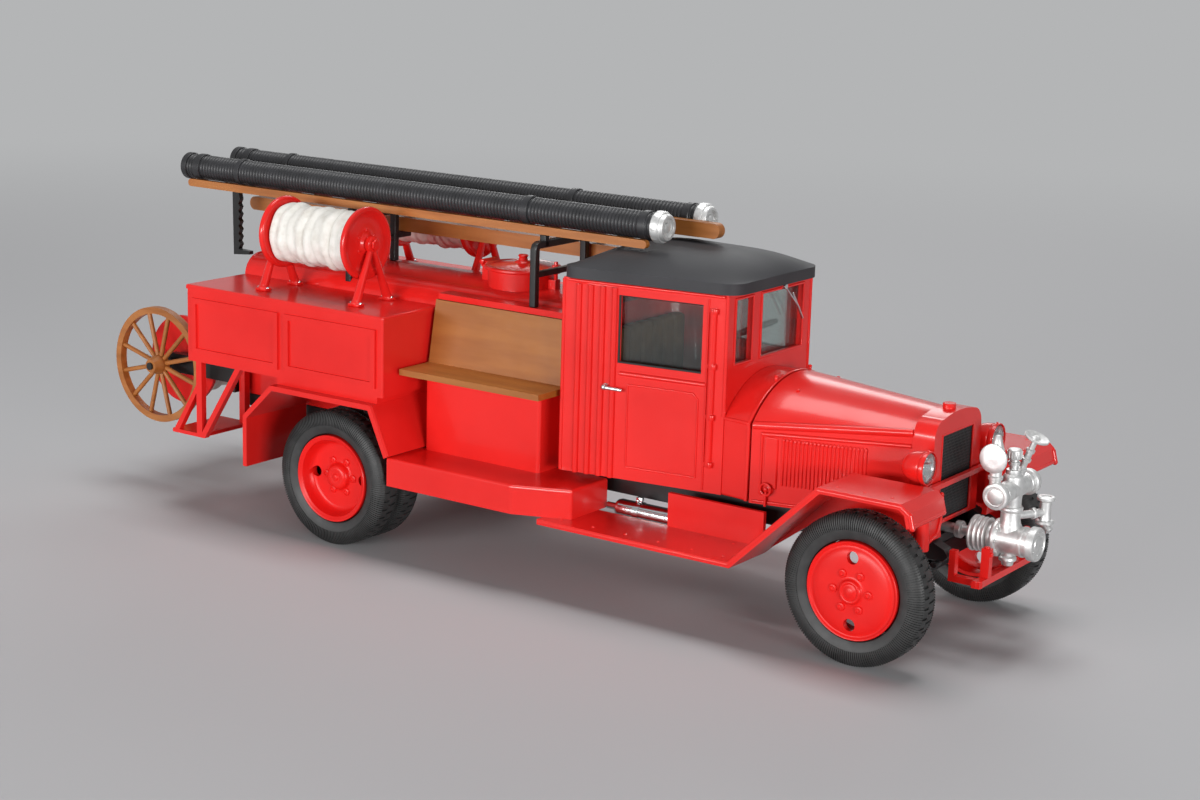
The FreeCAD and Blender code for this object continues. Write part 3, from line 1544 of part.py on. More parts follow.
def make_stand(name, x):
    """An A-shaped stand with an eye for the drum's pin and two feet."""
    half = D.stand_foot_half
    leg = D.stand_leg
    floor = D.locker_top
    boss = D.stand_boss_radius
    outline = [
        (-half - leg / 2, floor),
        (leg / 2 - half, floor),
        (ZERO, D.reel_z - boss * 2.2),
        (half - leg / 2, floor),
        (half + leg / 2, floor),
        (boss, D.reel_z),
        (-boss, D.reel_z),
    ]
    frame = prism(name + "_legs", "YZ", x, x + D.stand_thick, outline)
    boss_rod = rod(name + "_boss", "X", (x, ZERO, D.reel_z), D.stand_thick, boss)
    feet = []
    for side in (-1, 1):
        y = side * half
        feet.append(box(f"{name}_foot_{side + 1}",
                        (x + D.stand_thick / 2 - D.stand_foot_length / 2, y - leg, floor),
                        (x + D.stand_thick / 2 + D.stand_foot_length / 2, y + leg,
                         floor + D.stand_foot_thick)))
    whole = fuse(name + "_fused", frame, boss_rod, *feet)
    eye = rod(name + "_eye", "X", (x - D.cut_over, ZERO, D.reel_z),
              D.stand_thick + D.cut_over * 2, D.reel_pin_radius + D.running_gap)
    return place(cut(name, whole, eye), ZERO, -D.reel_y, ZERO)


def make_racks():
    """Two gallows behind the cab that carry the ladders and suction hoses."""
    bar = D.rack_bar
    top = D.rack_top
    peg_low = D.ladder_bottom

    def gallows(name, x, near, foot):
        low = x - bar / 2
        high = x + bar / 2
        far = D.rack_far_y
        pieces = [
            box(name + "_near", (low, -near - bar / 2, foot), (high, bar / 2 - near, top)),
            box(name + "_far", (low, far - bar / 2, D.tank_shoulder), (high, far + bar / 2, top)),
            box(name + "_top", (low, -near - bar / 2, top - bar), (high, D.ladder_half, top)),
            box(name + "_brace", (low, -near, D.rack_brace_z - bar / 2),
                (high, far, D.rack_brace_z + bar / 2)),
            box(name + "_shelf", (low, far, D.rack_peg_top - bar),
                (high, D.stick_y + D.stick_width / 2, D.rack_peg_top)),
        ]
        for count, y in enumerate((-D.ladder_half, D.ladder_half)):
            pieces.append(box(f"{name}_peg_{count}", (low, y - bar / 2, top - bar),
                              (high, y + bar / 2, peg_low)))
        raw = fuse(name + "_raw", *pieces)
        return cut(name, raw, copy_of(name + "_tank", "tank_fused"))

    front = gallows("front_gallows", D.rack_front_x, D.rack_near_y, D.ledge_top)
    rear = gallows("rear_gallows", D.rack_rear_x, D.rack_rear_near_y, D.tank_shoulder)
    node("front_rack", front)
    node("rear_rack", rear)


# A rounded end is an arc just over half its height in radius.
LENS_FLAT_SHARE = 0.12
ROUND_END_SHARE = 1.03


def rounded_bar(name, x_low, x_high, y, width, z_low, z_high):
    """A rail whose two ends are rounded in side view."""
    height = z_high - z_low
    half = height / 2
    return prism(name, "XZ", y - width / 2, y + width / 2, [
        (x_low + half, z_low),
        (x_high - half, z_low, half * ROUND_END_SHARE),
        (x_high - half, z_high),
        (x_low + half, z_high, half * ROUND_END_SHARE),
    ])


def make_ladders():
    """Hook ladder with rungs, a folded pole beside it and a folding stick below."""
    low = D.ladder_bottom
    high = low + D.ladder_rail_height
    rails = [rounded_bar(f"ladder_rail_{count}", D.ladder_rear_x, D.ladder_front_x, y,
                         D.ladder_rail_width, low, high)
             for count, y in enumerate((-D.ladder_half, D.ladder_half))]
    rungs = []
    pitch = (D.ladder_front_x - D.ladder_rear_x) / (D.ladder_rung_count + 1)
    reach = D.ladder_half
    for count in range(int(number_of(D.ladder_rung_count))):
        x = D.ladder_rear_x + pitch * (count + 1)
        rungs.append(rod(f"ladder_rung_{count}", "Y", (x, -reach, (low + high) / 2),
                         reach * 2, D.ladder_rung_radius))
    node("hook_ladder", fuse("ladder_fused", *rails, *rungs))
    rung_top = (low + high) / 2 + D.ladder_rung_radius
    node("folded_pole", rounded_bar("pole", D.pole_rear_x, D.pole_front_x, D.pole_y,
                                    D.pole_width, rung_top, rung_top + D.stick_height))
    stick_low = D.rack_peg_top
    node("folding_stick", rounded_bar("stick", D.stick_rear_x, D.stick_front_x, D.stick_y,
                                      D.stick_width, stick_low, stick_low + D.stick_height))
    shank_top = low + D.ladder_rail_height / 2 - D.ladder_rung_radius
    half = D.hook_thick / 2
    width = D.hook_width
    x = D.hook_x
    side = [
        (x, D.hook_bottom),
        (x + D.hook_toe, D.hook_bottom + width * 0.3),
        (x + D.hook_toe, D.hook_bottom + width * 0.8),
        (x + width * 1.1, D.hook_bottom + width * 0.9),
    ]
    tooth = (shank_top - width * 2 - D.hook_bottom - width) / D.hook_tooth_count
    for count in range(int(number_of(D.hook_tooth_count))):
        z = D.hook_bottom + width + tooth * count
        side.append((x + width, z))
        side.append((x + width * 1.35, z + tooth * 0.6))
    side += [
        (x + width, shank_top - width),
        (x + D.hook_shank, shank_top - width),
        (x + D.hook_shank, shank_top),
        (x - width * 0.2, shank_top),
    ]
    node("ladder_hook", prism("hook", "XZ", -half, half, side))


def make_suction_hoses():
    """Two rubber suction hoses with bright screwed couplings at their ends."""
    z = D.ladder_bottom + D.ladder_rail_height + D.suction_radius - D.suction_sink
    radius = D.suction_radius
    collar = D.suction_collar_radius
    length = D.suction_collar_length
    hoses = []
    ends = []
    for count, y in enumerate((-D.suction_y, D.suction_y)):
        hose = turned(f"suction_{count}", "XZ", "H_Axis", [
            (D.suction_rear_x, ZERO),
            (D.suction_front_x, ZERO),
            (D.suction_front_x, radius),
            (D.suction_rear_x + length * 3.5, radius),
            (D.suction_rear_x + length * 3.2, collar),
            (D.suction_rear_x + length * 2.4, collar),
            (D.suction_rear_x + length * 2.1, radius),
            (D.suction_rear_x + length, radius),
            (D.suction_rear_x + length, collar),
            (D.suction_rear_x, collar),
        ])
        hoses.append(place(hose, ZERO, y, z))
        inner = D.coupling_radius * 0.55
        for end, x, way in (("rear", D.suction_rear_x, -1), ("front", D.suction_front_x, 1)):
            size = 0.35 if way < 0 else 1.0
            run = D.coupling_length * (way * size)
            rim = D.coupling_radius * (0.75 if way < 0 else 1.0)
            path = [
                (x, ZERO),
                (x, rim),
                (x + run * 0.75, rim),
                (x + run, rim * 0.85),
                (x + run, inner),
                (x + run * 0.6, inner),
                (x + run * 0.6, ZERO),
            ]
            ends.append(place(turned(f"coupling_{count}_{end}", "XZ", "H_Axis", path),
                              ZERO, y, z))
    node("suction_hoses", group("suction_pair", *hoses))
    node("suction_couplings", group("coupling_set", *ends))


def make_rear_frames():
    """Open side frames with a foot tread under the rear of the lockers."""
    y = D.rear_frame_y
    half = D.rear_frame_thick / 2
    low = D.rear_tread_z - D.rear_tread_thick
    post = D.rear_post_width / 2
    strut = D.rear_strut
    x = D.rear_post_x
    upright = box("rear_post", (x - post, -y - half, low), (x + post, half - y, D.locker_bottom))
    leaning = prism("rear_strut", "XZ", -y - half, half - y, [
        (x, low),
        (x + strut, low),
        (D.rear_strut_top_x + strut, D.locker_bottom),
        (D.rear_strut_top_x, D.locker_bottom),
    ])
    outer = prism("rear_branch", "XZ", -y - half, half - y, [
        (D.rear_tread_x, low),
        (D.rear_tread_x + strut, low),
        (x, D.rear_strut_branch - strut * 0.5),
        (x, D.rear_strut_branch + strut * 0.7),
    ])
    tread = box("rear_tread", (D.rear_tread_x, -y - half, low),
                (x + post, -D.rear_tread_inner, D.rear_tread_z))
    hanger = box("tread_hanger", (x - post, -D.rear_tread_inner - D.rear_post_width, low),
                 (x + post, -D.rear_tread_inner, D.locker_bottom))
    whole = fuse("rear_frame", upright, leaning, outer, tread, hanger)
    node("rear_treads", both_sides("rear_frame_pair", whole))


def make_cart():
    """Hose cart slung behind: two spoked wheels, a drum and its carrier arms."""
    radius = D.cart_wheel_radius
    felloe_in = radius - D.cart_felloe
    half = D.cart_felloe_width / 2
    axle = D.cart_axle_radius
    out = D.cart_hub_out
    body = turned("cart_hub", "XY", "V_Axis", [
        (axle, -out),
        (D.cart_hub_radius * 0.7, -out),
        (D.cart_hub_radius, -half),
        (D.cart_hub_radius, half),
        (D.cart_hub_radius * 0.8, D.cart_hub_in),
        (axle, D.cart_hub_in),
    ])
    rim = turned("cart_felloe", "XY", "V_Axis", [
        (felloe_in, -half), (radius, -half), (radius, half), (felloe_in, half)])
    spokes = []
    count = int(number_of(D.cart_spoke_count))
    start = D.cart_hub_radius * 0.8
    for place_in in range(count):
        angle = 360.0 / count * (place_in + 0.5)
        spoke = DOC.addObject("Part::Cylinder", f"cart_spoke_{place_in}")
        bind(spoke, "Radius", D.cart_spoke_radius)
        bind(spoke, "Height", felloe_in - start + D.cart_felloe / 4)
        turn = FreeCAD.Rotation(FreeCAD.Vector(0, 1, 0), angle)
        way = turn.multVec(FreeCAD.Vector(0, 0, 1))
        spoke.Placement = FreeCAD.Placement(FreeCAD.Vector(), turn)
        bind(spoke, "Placement.Base.x", start * way.x)
        bind(spoke, "Placement.Base.z", start * way.z)
        spokes.append(spoke)
    wheel = fuse("cart_wheel", body, rim, *spokes)
    place(wheel, D.cart_x, -D.cart_wheel_y, D.cart_z)
    node("cart_wheels", both_sides("cart_wheel_pair", wheel))
    reach = D.cart_wheel_y + out + D.cart_axle_proud
    node("cart_axle", rod("cart_axle_rod", "Y", (D.cart_x, -reach, D.cart_z), reach * 2, axle))
    drum_half = D.cart_drum_half
    flange = D.cart_drum_flange
    drum = turned("cart_drum_body", "XY", "V_Axis", [
        (axle, -drum_half),
        (D.cart_drum_radius, -drum_half),
        (D.cart_drum_radius, flange - drum_half),
        (D.cart_drum_core, flange - drum_half),
        (D.cart_drum_core, drum_half - flange),
        (D.cart_drum_radius, drum_half - flange),
        (D.cart_drum_radius, drum_half),
        (axle, drum_half),
    ])
    node("cart_drum", place(drum, D.cart_x, ZERO, D.cart_z))
    coil_half = drum_half - flange
    coil = turned("cart_coil", "XY", "V_Axis", [
        (D.cart_drum_core, -coil_half),
        (D.cart_coil_radius, -coil_half),
        (D.cart_coil_radius, coil_half),
        (D.cart_drum_core, coil_half),
    ])
    node("cart_hose", place(coil, D.cart_x, ZERO, D.cart_z))
    arm_half = D.cart_arm_thick / 2
    eye = D.cart_arm_eye
    arm = prism("cart_arm", "XZ", -D.cart_arm_y - arm_half, arm_half - D.cart_arm_y, [
        (D.cart_x, D.cart_z - eye),
        (D.tank_rear_x, D.cart_z - D.cart_arm_height / 2),
        (D.tank_rear_x, D.cart_z + D.cart_arm_height / 2),
        (D.cart_x, D.cart_z + eye, eye * ROUND_END_SHARE),
    ])
    plate = box("cart_plate", (D.tank_rear_x - D.cart_arm_thick, -D.cart_arm_y - arm_half,
                               D.cart_z - D.cart_arm_height),
                (D.tank_rear_x, D.cart_arm_y + arm_half, D.cart_z + D.cart_arm_height))
    hole = rod("cart_bore", "Y", (D.cart_x, -D.cart_arm_y - D.cut_over, D.cart_z),
               (D.cart_arm_y + D.cut_over) * 2, axle + D.running_gap)
    whole = fuse("cart_carrier_raw", plate, arm, mirrored("cart_arm_left", arm))
    node("cart_carrier", cut("cart_carrier_cut", whole, hole))


def make_pump():
    """Front pump: gear case, casing, column, cross outlets and valves."""
    z = D.pump_z
    gear = turned("pump_gear", "XZ", "H_Axis", [
        (D.pump_gear_rear_x, ZERO),
        (D.pump_case_front_x + D.pump_mouth_length, ZERO),
        (D.pump_case_front_x + D.pump_mouth_length, D.pump_mouth_radius),
        (D.pump_case_front_x, D.pump_mouth_radius),
        (D.pump_case_front_x, D.pump_case_radius),
        (D.pump_case_rear_x, D.pump_case_radius),
        (D.pump_case_rear_x, D.pump_neck_radius),
        (D.pump_gear_front_x, D.pump_neck_radius),
        (D.pump_gear_front_x, D.pump_gear_radius - D.pump_gear_rib),
        (D.pump_gear_front_x - D.pump_gear_rib, D.pump_gear_radius),
        (D.pump_gear_front_x - D.pump_gear_rib * 2, D.pump_gear_radius - D.pump_gear_rib),
        (D.pump_gear_rear_x + D.pump_gear_rib * 2, D.pump_gear_radius - D.pump_gear_rib),
        (D.pump_gear_rear_x + D.pump_gear_rib, D.pump_gear_radius),
        (D.pump_gear_rear_x, D.pump_gear_radius - D.pump_gear_rib),
    ])
    place(gear, ZERO, ZERO, z)
    column = rod("pump_column", "Z", (D.pump_column_x, ZERO, z), D.pump_head_top - z,
                 D.pump_column_radius)
    reach = D.pump_cross_half
    cross = rod("pump_cross", "Y", (D.pump_column_x, -reach, D.pump_cross_z), reach * 2,
                D.pump_cross_radius)
    caps = rod("pump_caps", "Y", (D.pump_column_x, -reach - D.pump_cap_length,
                                  D.pump_cross_z), D.pump_cap_length, D.pump_cap_radius)
    drain = rod("pump_drain", "Z", (D.pump_column_x, ZERO, D.pump_drain_bottom),
                z - D.pump_drain_bottom, D.pump_drain_radius)
    shaft = rod("pump_shaft", "X", (D.frame_front_x - D.frame_cross_length, ZERO, z),
                D.pump_gear_rear_x - D.frame_front_x + D.frame_cross_length + D.pump_gear_rib,
                D.pump_shaft_radius)
    node("pump_body", fuse("pump_fused", gear, column, cross, caps,
                           mirrored("pump_caps_left", caps), drain, shaft))
    stub = rod("valve_stub", "Z", (D.pump_column_x, ZERO, D.pump_head_top),
               D.valve_stub_top - D.pump_head_top, D.valve_stub_radius)
    near = rod("near_valve", "Z", (D.near_valve_x, -D.near_valve_y, D.pump_cross_z),
               D.near_valve_top - D.pump_cross_z, D.near_valve_radius)
    plate = rod("near_plate", "Y", (D.near_valve_x, -D.near_valve_y - D.near_valve_radius
                                    - D.near_plate_thick, D.near_plate_z),
                D.near_plate_thick + D.near_valve_radius, D.near_plate_radius)
    turn = FreeCAD.Rotation(FreeCAD.Vector(0, 1, 0), number_of(D.hand_wheel_tilt))
    stem = rod("wheel_stem", "Z", (ZERO, ZERO, ZERO), D.hand_wheel_stem,
               D.valve_stub_radius * 0.6)
    disc = rod("hand_disc", "Z", (ZERO, ZERO, D.hand_wheel_stem), D.hand_wheel_thick,
               D.hand_wheel_radius)
    hand = fuse("hand_wheel", stem, disc)
    hand.Placement = FreeCAD.Placement(FreeCAD.Vector(), turn)
    place(hand, D.pump_column_x, D.hand_wheel_y, D.pump_head_top - D.hand_wheel_thick)
    pot = rod("side_pot", "Z", (D.side_pot_x, D.side_pot_y, D.side_pot_bottom),
              D.side_pot_top - D.side_pot_bottom, D.side_pot_radius)
    flange_low = rod("pot_flange_low", "Z", (D.side_pot_x, D.side_pot_y, D.side_pot_bottom),
                     D.hand_wheel_thick, D.side_pot_flange)
    flange_high = rod("pot_flange_high", "Z",
                      (D.side_pot_x, D.side_pot_y, D.side_pot_top - D.hand_wheel_thick),
                      D.hand_wheel_thick, D.side_pot_flange)
    run_x = D.side_pot_x - D.pump_column_x
    run_y = D.side_pot_y
    pipe = DOC.addObject("Part::Cylinder", "side_pipe")
    bind(pipe, "Radius", D.side_pipe_radius)
    pipe.setExpression("Height", f"sqrt({(run_x * run_x + run_y * run_y).text})")
    way = FreeCAD.Vector(number_of(run_x), number_of(run_y), 0)
    place(pipe, D.pump_column_x, ZERO, D.side_pipe_z,
          FreeCAD.Rotation(FreeCAD.Vector(0, 0, 1), way))
    raw = fuse("valves_raw", stub, near, plate, hand, pot, flange_low, flange_high, pipe)
    node("pump_valves", cut("valves_cut", raw, copy_of("pump_for_valves", "pump_fused")))


def make_pump_carrier():
    """Cross bar in front of the axle with posts and arms back to the frame."""
    half = D.carrier_depth / 2
    x = D.carrier_x
    low = D.carrier_z - D.carrier_height / 2
    high = D.carrier_z + D.carrier_height / 2
    bar = box("carrier_bar", (x - half, -D.carrier_half, low), (x + half, D.carrier_half, high))
    frame_low = D.frame_top - D.frame_rail_height
    horn = D.frame_horn_x + D.frame_rail_wall
    arm = box("carrier_arm_box", (horn, -D.frame_rail_y - D.carrier_post_width / 2, low),
              (x, D.carrier_post_width / 2 - D.frame_rail_y, high))
    link = box("carrier_link", (horn, -D.frame_rail_y - D.carrier_post_width / 2, low),
               (horn + D.carrier_height,
                D.carrier_post_width / 2 - D.frame_rail_y, frame_low + D.frame_horn_drop))
    post = box("carrier_post", (x - half, -D.carrier_post_y - D.carrier_post_width / 2, low),
               (x + half, D.carrier_post_width / 2 - D.carrier_post_y, D.carrier_post_top))
    side = fuse("carrier_side", arm, link, post)
    node("pump_carrier", fuse("carrier_fused", bar, side, mirrored("carrier_left", side)))


def build_all():
    make_wheels()
    make_frame()
    make_axles()
    make_springs()
    make_driveline()
    make_silencer()
    make_front_guards()
    make_cab()
    make_glazing()
    make_roof()
    make_cab_inside()
    make_steering()
    make_handles()
    make_bonnet()
    make_radiator()
    make_lamps()
    make_tank()
    make_hatch()
    make_lockers()
    make_rear_guards()
    make_steps_and_benches()
    make_reels()
    make_racks()
    make_ladders()
    make_suction_hoses()
    make_rear_frames()
    make_cart()
    make_pump()
    make_pump_carrier()


def check_and_write():
    """Stops on any failed or empty piece, then writes one file per piece."""
    DOC.recompute()
    faults = [piece.Name for piece in DOC.Objects
              if "Invalid" in piece.State or "Error" in piece.State]
    for piece in NODES:
        if piece.Shape.isNull() or not piece.Shape.isValid() or not piece.Shape.Solids:
            faults.append(piece.Label)
    if faults:
        raise RuntimeError("faulty pieces: " + ", ".join(faults))
    os.makedirs("parts", exist_ok=True)
    for piece in NODES:
        piece.Shape.exportStep(f"parts/{piece.Label}.step")
        print(piece.Label, len(piece.Shape.Solids), round(piece.Shape.Volume, 1))


build_all()
check_and_write()
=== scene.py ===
# %% [markdown]
# # A 1:43 fire engine, finished in Blender
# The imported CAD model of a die-cast fire engine is loaded as a fixed frame. Its solids keep their
# places and sizes. This notebook gives each of them the finish of the real model, and adds or
# replaces the pieces whose detail is too fine for the solids: tyre ribs, hose ribs, leaves of the
# springs, hand wheels, hinges, wipers and trim.

# %% Load the frame
import json
import math
import bpy
from mathutils import Matrix, Vector

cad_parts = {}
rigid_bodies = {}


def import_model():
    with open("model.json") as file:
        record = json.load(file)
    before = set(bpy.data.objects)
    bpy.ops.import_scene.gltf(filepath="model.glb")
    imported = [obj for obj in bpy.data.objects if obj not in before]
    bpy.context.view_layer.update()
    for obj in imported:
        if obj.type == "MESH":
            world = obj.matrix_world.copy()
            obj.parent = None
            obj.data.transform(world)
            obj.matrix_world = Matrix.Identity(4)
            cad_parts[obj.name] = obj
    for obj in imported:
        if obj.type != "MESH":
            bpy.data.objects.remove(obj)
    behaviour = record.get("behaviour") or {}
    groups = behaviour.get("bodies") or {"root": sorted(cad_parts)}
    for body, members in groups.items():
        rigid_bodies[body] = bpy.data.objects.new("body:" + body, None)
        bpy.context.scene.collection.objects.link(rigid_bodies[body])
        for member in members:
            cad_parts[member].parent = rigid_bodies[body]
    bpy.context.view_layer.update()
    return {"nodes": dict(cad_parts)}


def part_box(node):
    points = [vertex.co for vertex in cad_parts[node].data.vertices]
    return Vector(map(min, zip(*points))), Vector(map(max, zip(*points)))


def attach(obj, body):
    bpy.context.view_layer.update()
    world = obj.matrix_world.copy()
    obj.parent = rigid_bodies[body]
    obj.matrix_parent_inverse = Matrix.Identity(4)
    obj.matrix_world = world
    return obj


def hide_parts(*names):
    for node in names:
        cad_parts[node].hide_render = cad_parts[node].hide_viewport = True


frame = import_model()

# %% [markdown]
# Drawings of a lorry count their lengths from the rear axle, ahead to the front, out to the left
# and up from the ground. The frame has the same directions, but its origin is under the middle of
# the model. The rear wheels' box says how far the two origins lie apart, so every piece below can
# be placed in plain millimetres of the drawing.

# %% Millimetres of the drawing
MM = 0.001
rear_low, rear_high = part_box("rear_wheel_discs")
AXLE_OFFSET = (rear_low.x + rear_high.x) / 2


def spot(x, y, z):
    """A place of the drawing, in millimetres from the rear axle, in the frame's metres."""
    return Vector((x * MM + AXLE_OFFSET, y * MM, z * MM))


def size_of(node):
    """Lowest and highest corner of a CAD node in the drawing's millimetres."""
    shift = Vector((AXLE_OFFSET, 0, 0))
    return [(Vector(corner) - shift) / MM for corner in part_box(node)]


print("rear axle is", round(-AXLE_OFFSET / MM, 2), "mm behind the origin")

# %% [markdown]
# The camera stands where the photographer stood: ahead of the model, to its right and a hand's
# width above the table. Its place and turn were solved from wheel centres and body corners whose
# real places are known. A long lens keeps the lines nearly parallel.

# %% Camera
CAMERA_PLACE = (219.825, -268.097, 100.248)
CAMERA_HEADING, CAMERA_DIP, CAMERA_ROLL = 2.17708, 0.22899, 0.028575
SENSOR_WIDTH, LENS = 36, 66.86
NEAREST, FARTHEST = 0.01, 20

ahead = Vector((math.cos(CAMERA_HEADING) * math.cos(CAMERA_DIP),
                math.sin(CAMERA_HEADING) * math.cos(CAMERA_DIP), -math.sin(CAMERA_DIP)))
level = Vector((math.sin(CAMERA_HEADING), -math.cos(CAMERA_HEADING), 0))
upward = level.cross(ahead)
side = level * math.cos(CAMERA_ROLL) + upward * math.sin(CAMERA_ROLL)
upright = upward * math.cos(CAMERA_ROLL) - level * math.sin(CAMERA_ROLL)
bpy.ops.object.camera_add(location=spot(*CAMERA_PLACE))
camera = bpy.context.object
camera.name = "camera"
camera.rotation_mode = "QUATERNION"
camera.rotation_quaternion = Matrix((side, upright, -ahead)).transposed().to_quaternion()
camera.data.sensor_width = SENSOR_WIDTH
camera.data.lens = LENS
camera.data.clip_start = NEAREST
camera.data.clip_end = FARTHEST
bpy.context.scene.camera = camera
bpy.context.scene.view_settings.view_transform = "Standard"
print("camera", round((camera.location - spot(44, 0, 20)).length, 3), "m from the model")

# %% [markdown]
# Studio light for glossy enamel is all about large, soft sources, because the paint mirrors them.
# The strongest boxes stand low beside the camera, so the model's sides are brighter than its top.
# One overhead drops a deep shadow under the model and draws the bright lines along rounded edges,
# and a weaker one lights the far side.
# The sky gives the rest. Together they light a white card to about white, so that each colour
# renders as it is written.

# %% Colours, nodes and lamps
def linear(code):
    """An sRGB hex colour as linear red, green, blue and alpha."""
    parts = [int(code[place:place + 2], 16) / 255 for place in (1, 3, 5)]
    return [c / 12.92 if c <= 0.04045 else ((c + 0.055) / 1.055) ** 2.4 for c in parts] + [1.0]


def add(tree, kind, values=None, links=None, **settings):
    """Adds a node with its settings, its input values and its links from (node, output)."""
    made = tree.nodes.new("ShaderNode" + kind)
    for name, value in settings.items():
        setattr(made, name, value)
    for socket, value in (values or {}).items():
        made.inputs[socket].default_value = value
    for socket, (source, output) in (links or {}).items():
        tree.links.new(source.outputs[output], made.inputs[socket])
    return made


STUDIO_CENTRE = Vector((0, 0, 0.02))
SOFT_BOXES = (  # name, place, width and height in metres, watts
    ("soft_box_above", (0.00, 0.08, 0.62), 0.40, 0.24, 1.9),
    ("soft_box_camera", (0.75, -0.38, 0.12), 0.34, 0.12, 3.3),
    ("soft_box_side", (-0.12, -0.80, 0.12), 0.60, 0.12, 4.7),
    ("soft_box_behind", (-0.30, 0.70, 0.42), 0.50, 0.20, 1.2),
)
for name, place, width, height, watts in SOFT_BOXES:
    bpy.ops.object.light_add(type="AREA", location=place)
    lamp = bpy.context.object
    lamp.name = name
    lamp.data.shape = "RECTANGLE"
    lamp.data.size = width
    lamp.data.size_y = height
    lamp.data.energy = watts
    lamp.rotation_euler = (STUDIO_CENTRE - Vector(place)).to_track_quat("-Z", "Y").to_euler()
print("soft boxes:", len(SOFT_BOXES))

# %% [markdown]
# The model stands on a sheet of matt grey paper with faint clouds in it. Away from the lamps the
# paper would fall dark, so there it fades into the backdrop's tone, for rays that show it.

# %% Paper
BACKDROP = "#B4B5B6"
PAPER_TONES = ("#C0C0C2", "#C8C8CA")
FLOOR_RADIUS, FADE_FROM, FADE_TO = 3.0, 0.2, 0.56


def seen_ray(tree):
    """1 for rays that show the backdrop: seen directly, mirrored or through glass."""
    ray = add(tree, "LightPath")
    clear = add(tree, "Math", links={0: (ray, "Is Camera Ray"), 1: (ray, "Is Transmission Ray")},
                operation="MAXIMUM")
    return add(tree, "Math", links={0: (clear, 0), 1: (ray, "Is Glossy Ray")},
               operation="MAXIMUM")


bpy.ops.mesh.primitive_circle_add(vertices=96, radius=FLOOR_RADIUS, fill_type="NGON",
                                  location=(0, 0, 0))
floor = bpy.context.object
floor.name = "floor"
paper = bpy.data.materials.new("matt_grey_paper")
paper.use_nodes = True
tree = paper.node_tree
paper_shader = tree.nodes["Principled BSDF"]
paper_shader.inputs["Roughness"].default_value = 0.75
place = add(tree, "TexCoord")
cloud = add(tree, "TexNoise", {"Scale": 1.2, "Detail": 2.0}, {"Vector": (place, "Object")})
tones = add(tree, "ValToRGB", links={"Fac": (cloud, "Fac")})
for mark, code in zip(tones.color_ramp.elements, PAPER_TONES):
    mark.color = linear(code)
tree.links.new(tones.outputs["Color"], paper_shader.inputs["Base Color"])
far = add(tree, "VectorMath", links={0: (place, "Object")}, operation="LENGTH")
fade = add(tree, "MapRange", {"From Min": FADE_FROM, "From Max": FADE_TO},
           {"Value": (far, "Value")}, interpolation_type="SMOOTHSTEP")
share = add(tree, "Math", links={0: (fade, 0), 1: (seen_ray(tree), 0)}, operation="MULTIPLY")
tone = add(tree, "Emission", {"Color": linear(BACKDROP), "Strength": 1.0})
mixed = add(tree, "MixShader", links={0: (share, 0), 1: (paper_shader, 0), 2: (tone, 0)})
tree.links.new(mixed.outputs[0], tree.nodes["Material Output"].inputs["Surface"])
floor.data.materials.append(paper)
print("paper fades to the backdrop from", FADE_FROM, "to", FADE_TO, "m")

# %% [markdown]
# The sky does two things. For rays that show it, it is the backdrop, and for all the others
# it is a weak, slightly cool light from every side, as from the walls of a studio.

# %% Sky
SKY_TONE, SKY_STRENGTH = "#E8EAEC", 0.10
world = bpy.data.worlds.new("studio")
bpy.context.scene.world = world
world.use_nodes = True
tree = world.node_tree
sky_light = tree.nodes["Background"]
sky_light.inputs["Color"].default_value = linear(SKY_TONE)
sky_light.inputs["Strength"].default_value = SKY_STRENGTH
sky_seen = add(tree, "Background", {"Color": linear(BACKDROP), "Strength": 1.0})
mixed = add(tree, "MixShader",
            links={0: (seen_ray(tree), 0), 1: (sky_light, 0), 2: (sky_seen, 0)})
tree.links.new(mixed.outputs[0], tree.nodes["World Output"].inputs["Surface"])
print("sky strength", SKY_STRENGTH)


# %% [markdown]
# # The finishes
# A collector's model is made of few real materials: zinc castings sprayed with enamel, styrene
# mouldings coloured in the mass, rubber tyres, clear styrene for the glass and parts that are
# plated bright. Each finish starts from one shader. Colour varies a little in patches, roughness
# varies with it, and a bump gives the grain that the tool or the spray gun leaves. Pattern sizes
# are written in real millimetres and turned into Blender's scale by one function.

# %% Parts of a finish
EVEN = (1, 1, 1)


def start_finish(name, slot, code, roughness, **values):
    """A new material for a slot, with one Principled shader; values are its own inputs."""
    material = bpy.data.materials.new(name)
    material.use_nodes = True
    shader = material.node_tree.nodes["Principled BSDF"]
    shader.inputs["Base Color"].default_value = linear(code)
    shader.inputs["Roughness"].default_value = roughness
    for socket, value in values.items():
        shader.inputs[socket.replace("_", " ")].default_value = value
    print("finish", name, "for", slot)
    return material


def pattern(tree, kind, size_mm, stretch, **values):
    """A pattern with features size_mm wide, in object coordinates stretched along the axes."""
    place = add(tree, "TexCoord")
    mapped = add(tree, "Mapping", {"Scale": stretch}, {"Vector": (place, "Object")})
    return add(tree, kind, {"Scale": 1 / (size_mm * MM), **values}, {"Vector": (mapped, 0)})


# %% Colour, roughness and grain of a finish
def tint(material, codes, size_mm, stretch=EVEN):
    """Patches of like colours, size_mm wide, over the whole finish."""
    tree = material.node_tree
    cloud = pattern(tree, "TexNoise", size_mm, stretch, Detail=3.0)
    colours = add(tree, "ValToRGB", links={"Fac": (cloud, "Fac")})
    marks = colours.color_ramp.elements
    while len(marks) < len(codes):
        marks.new(0.5)
    for count, (mark, code) in enumerate(zip(marks, codes)):
        mark.position = 0.3 + 0.4 * count / (len(codes) - 1)
        mark.color = linear(code)
    tree.links.new(colours.outputs["Color"],
                   tree.nodes["Principled BSDF"].inputs["Base Color"])


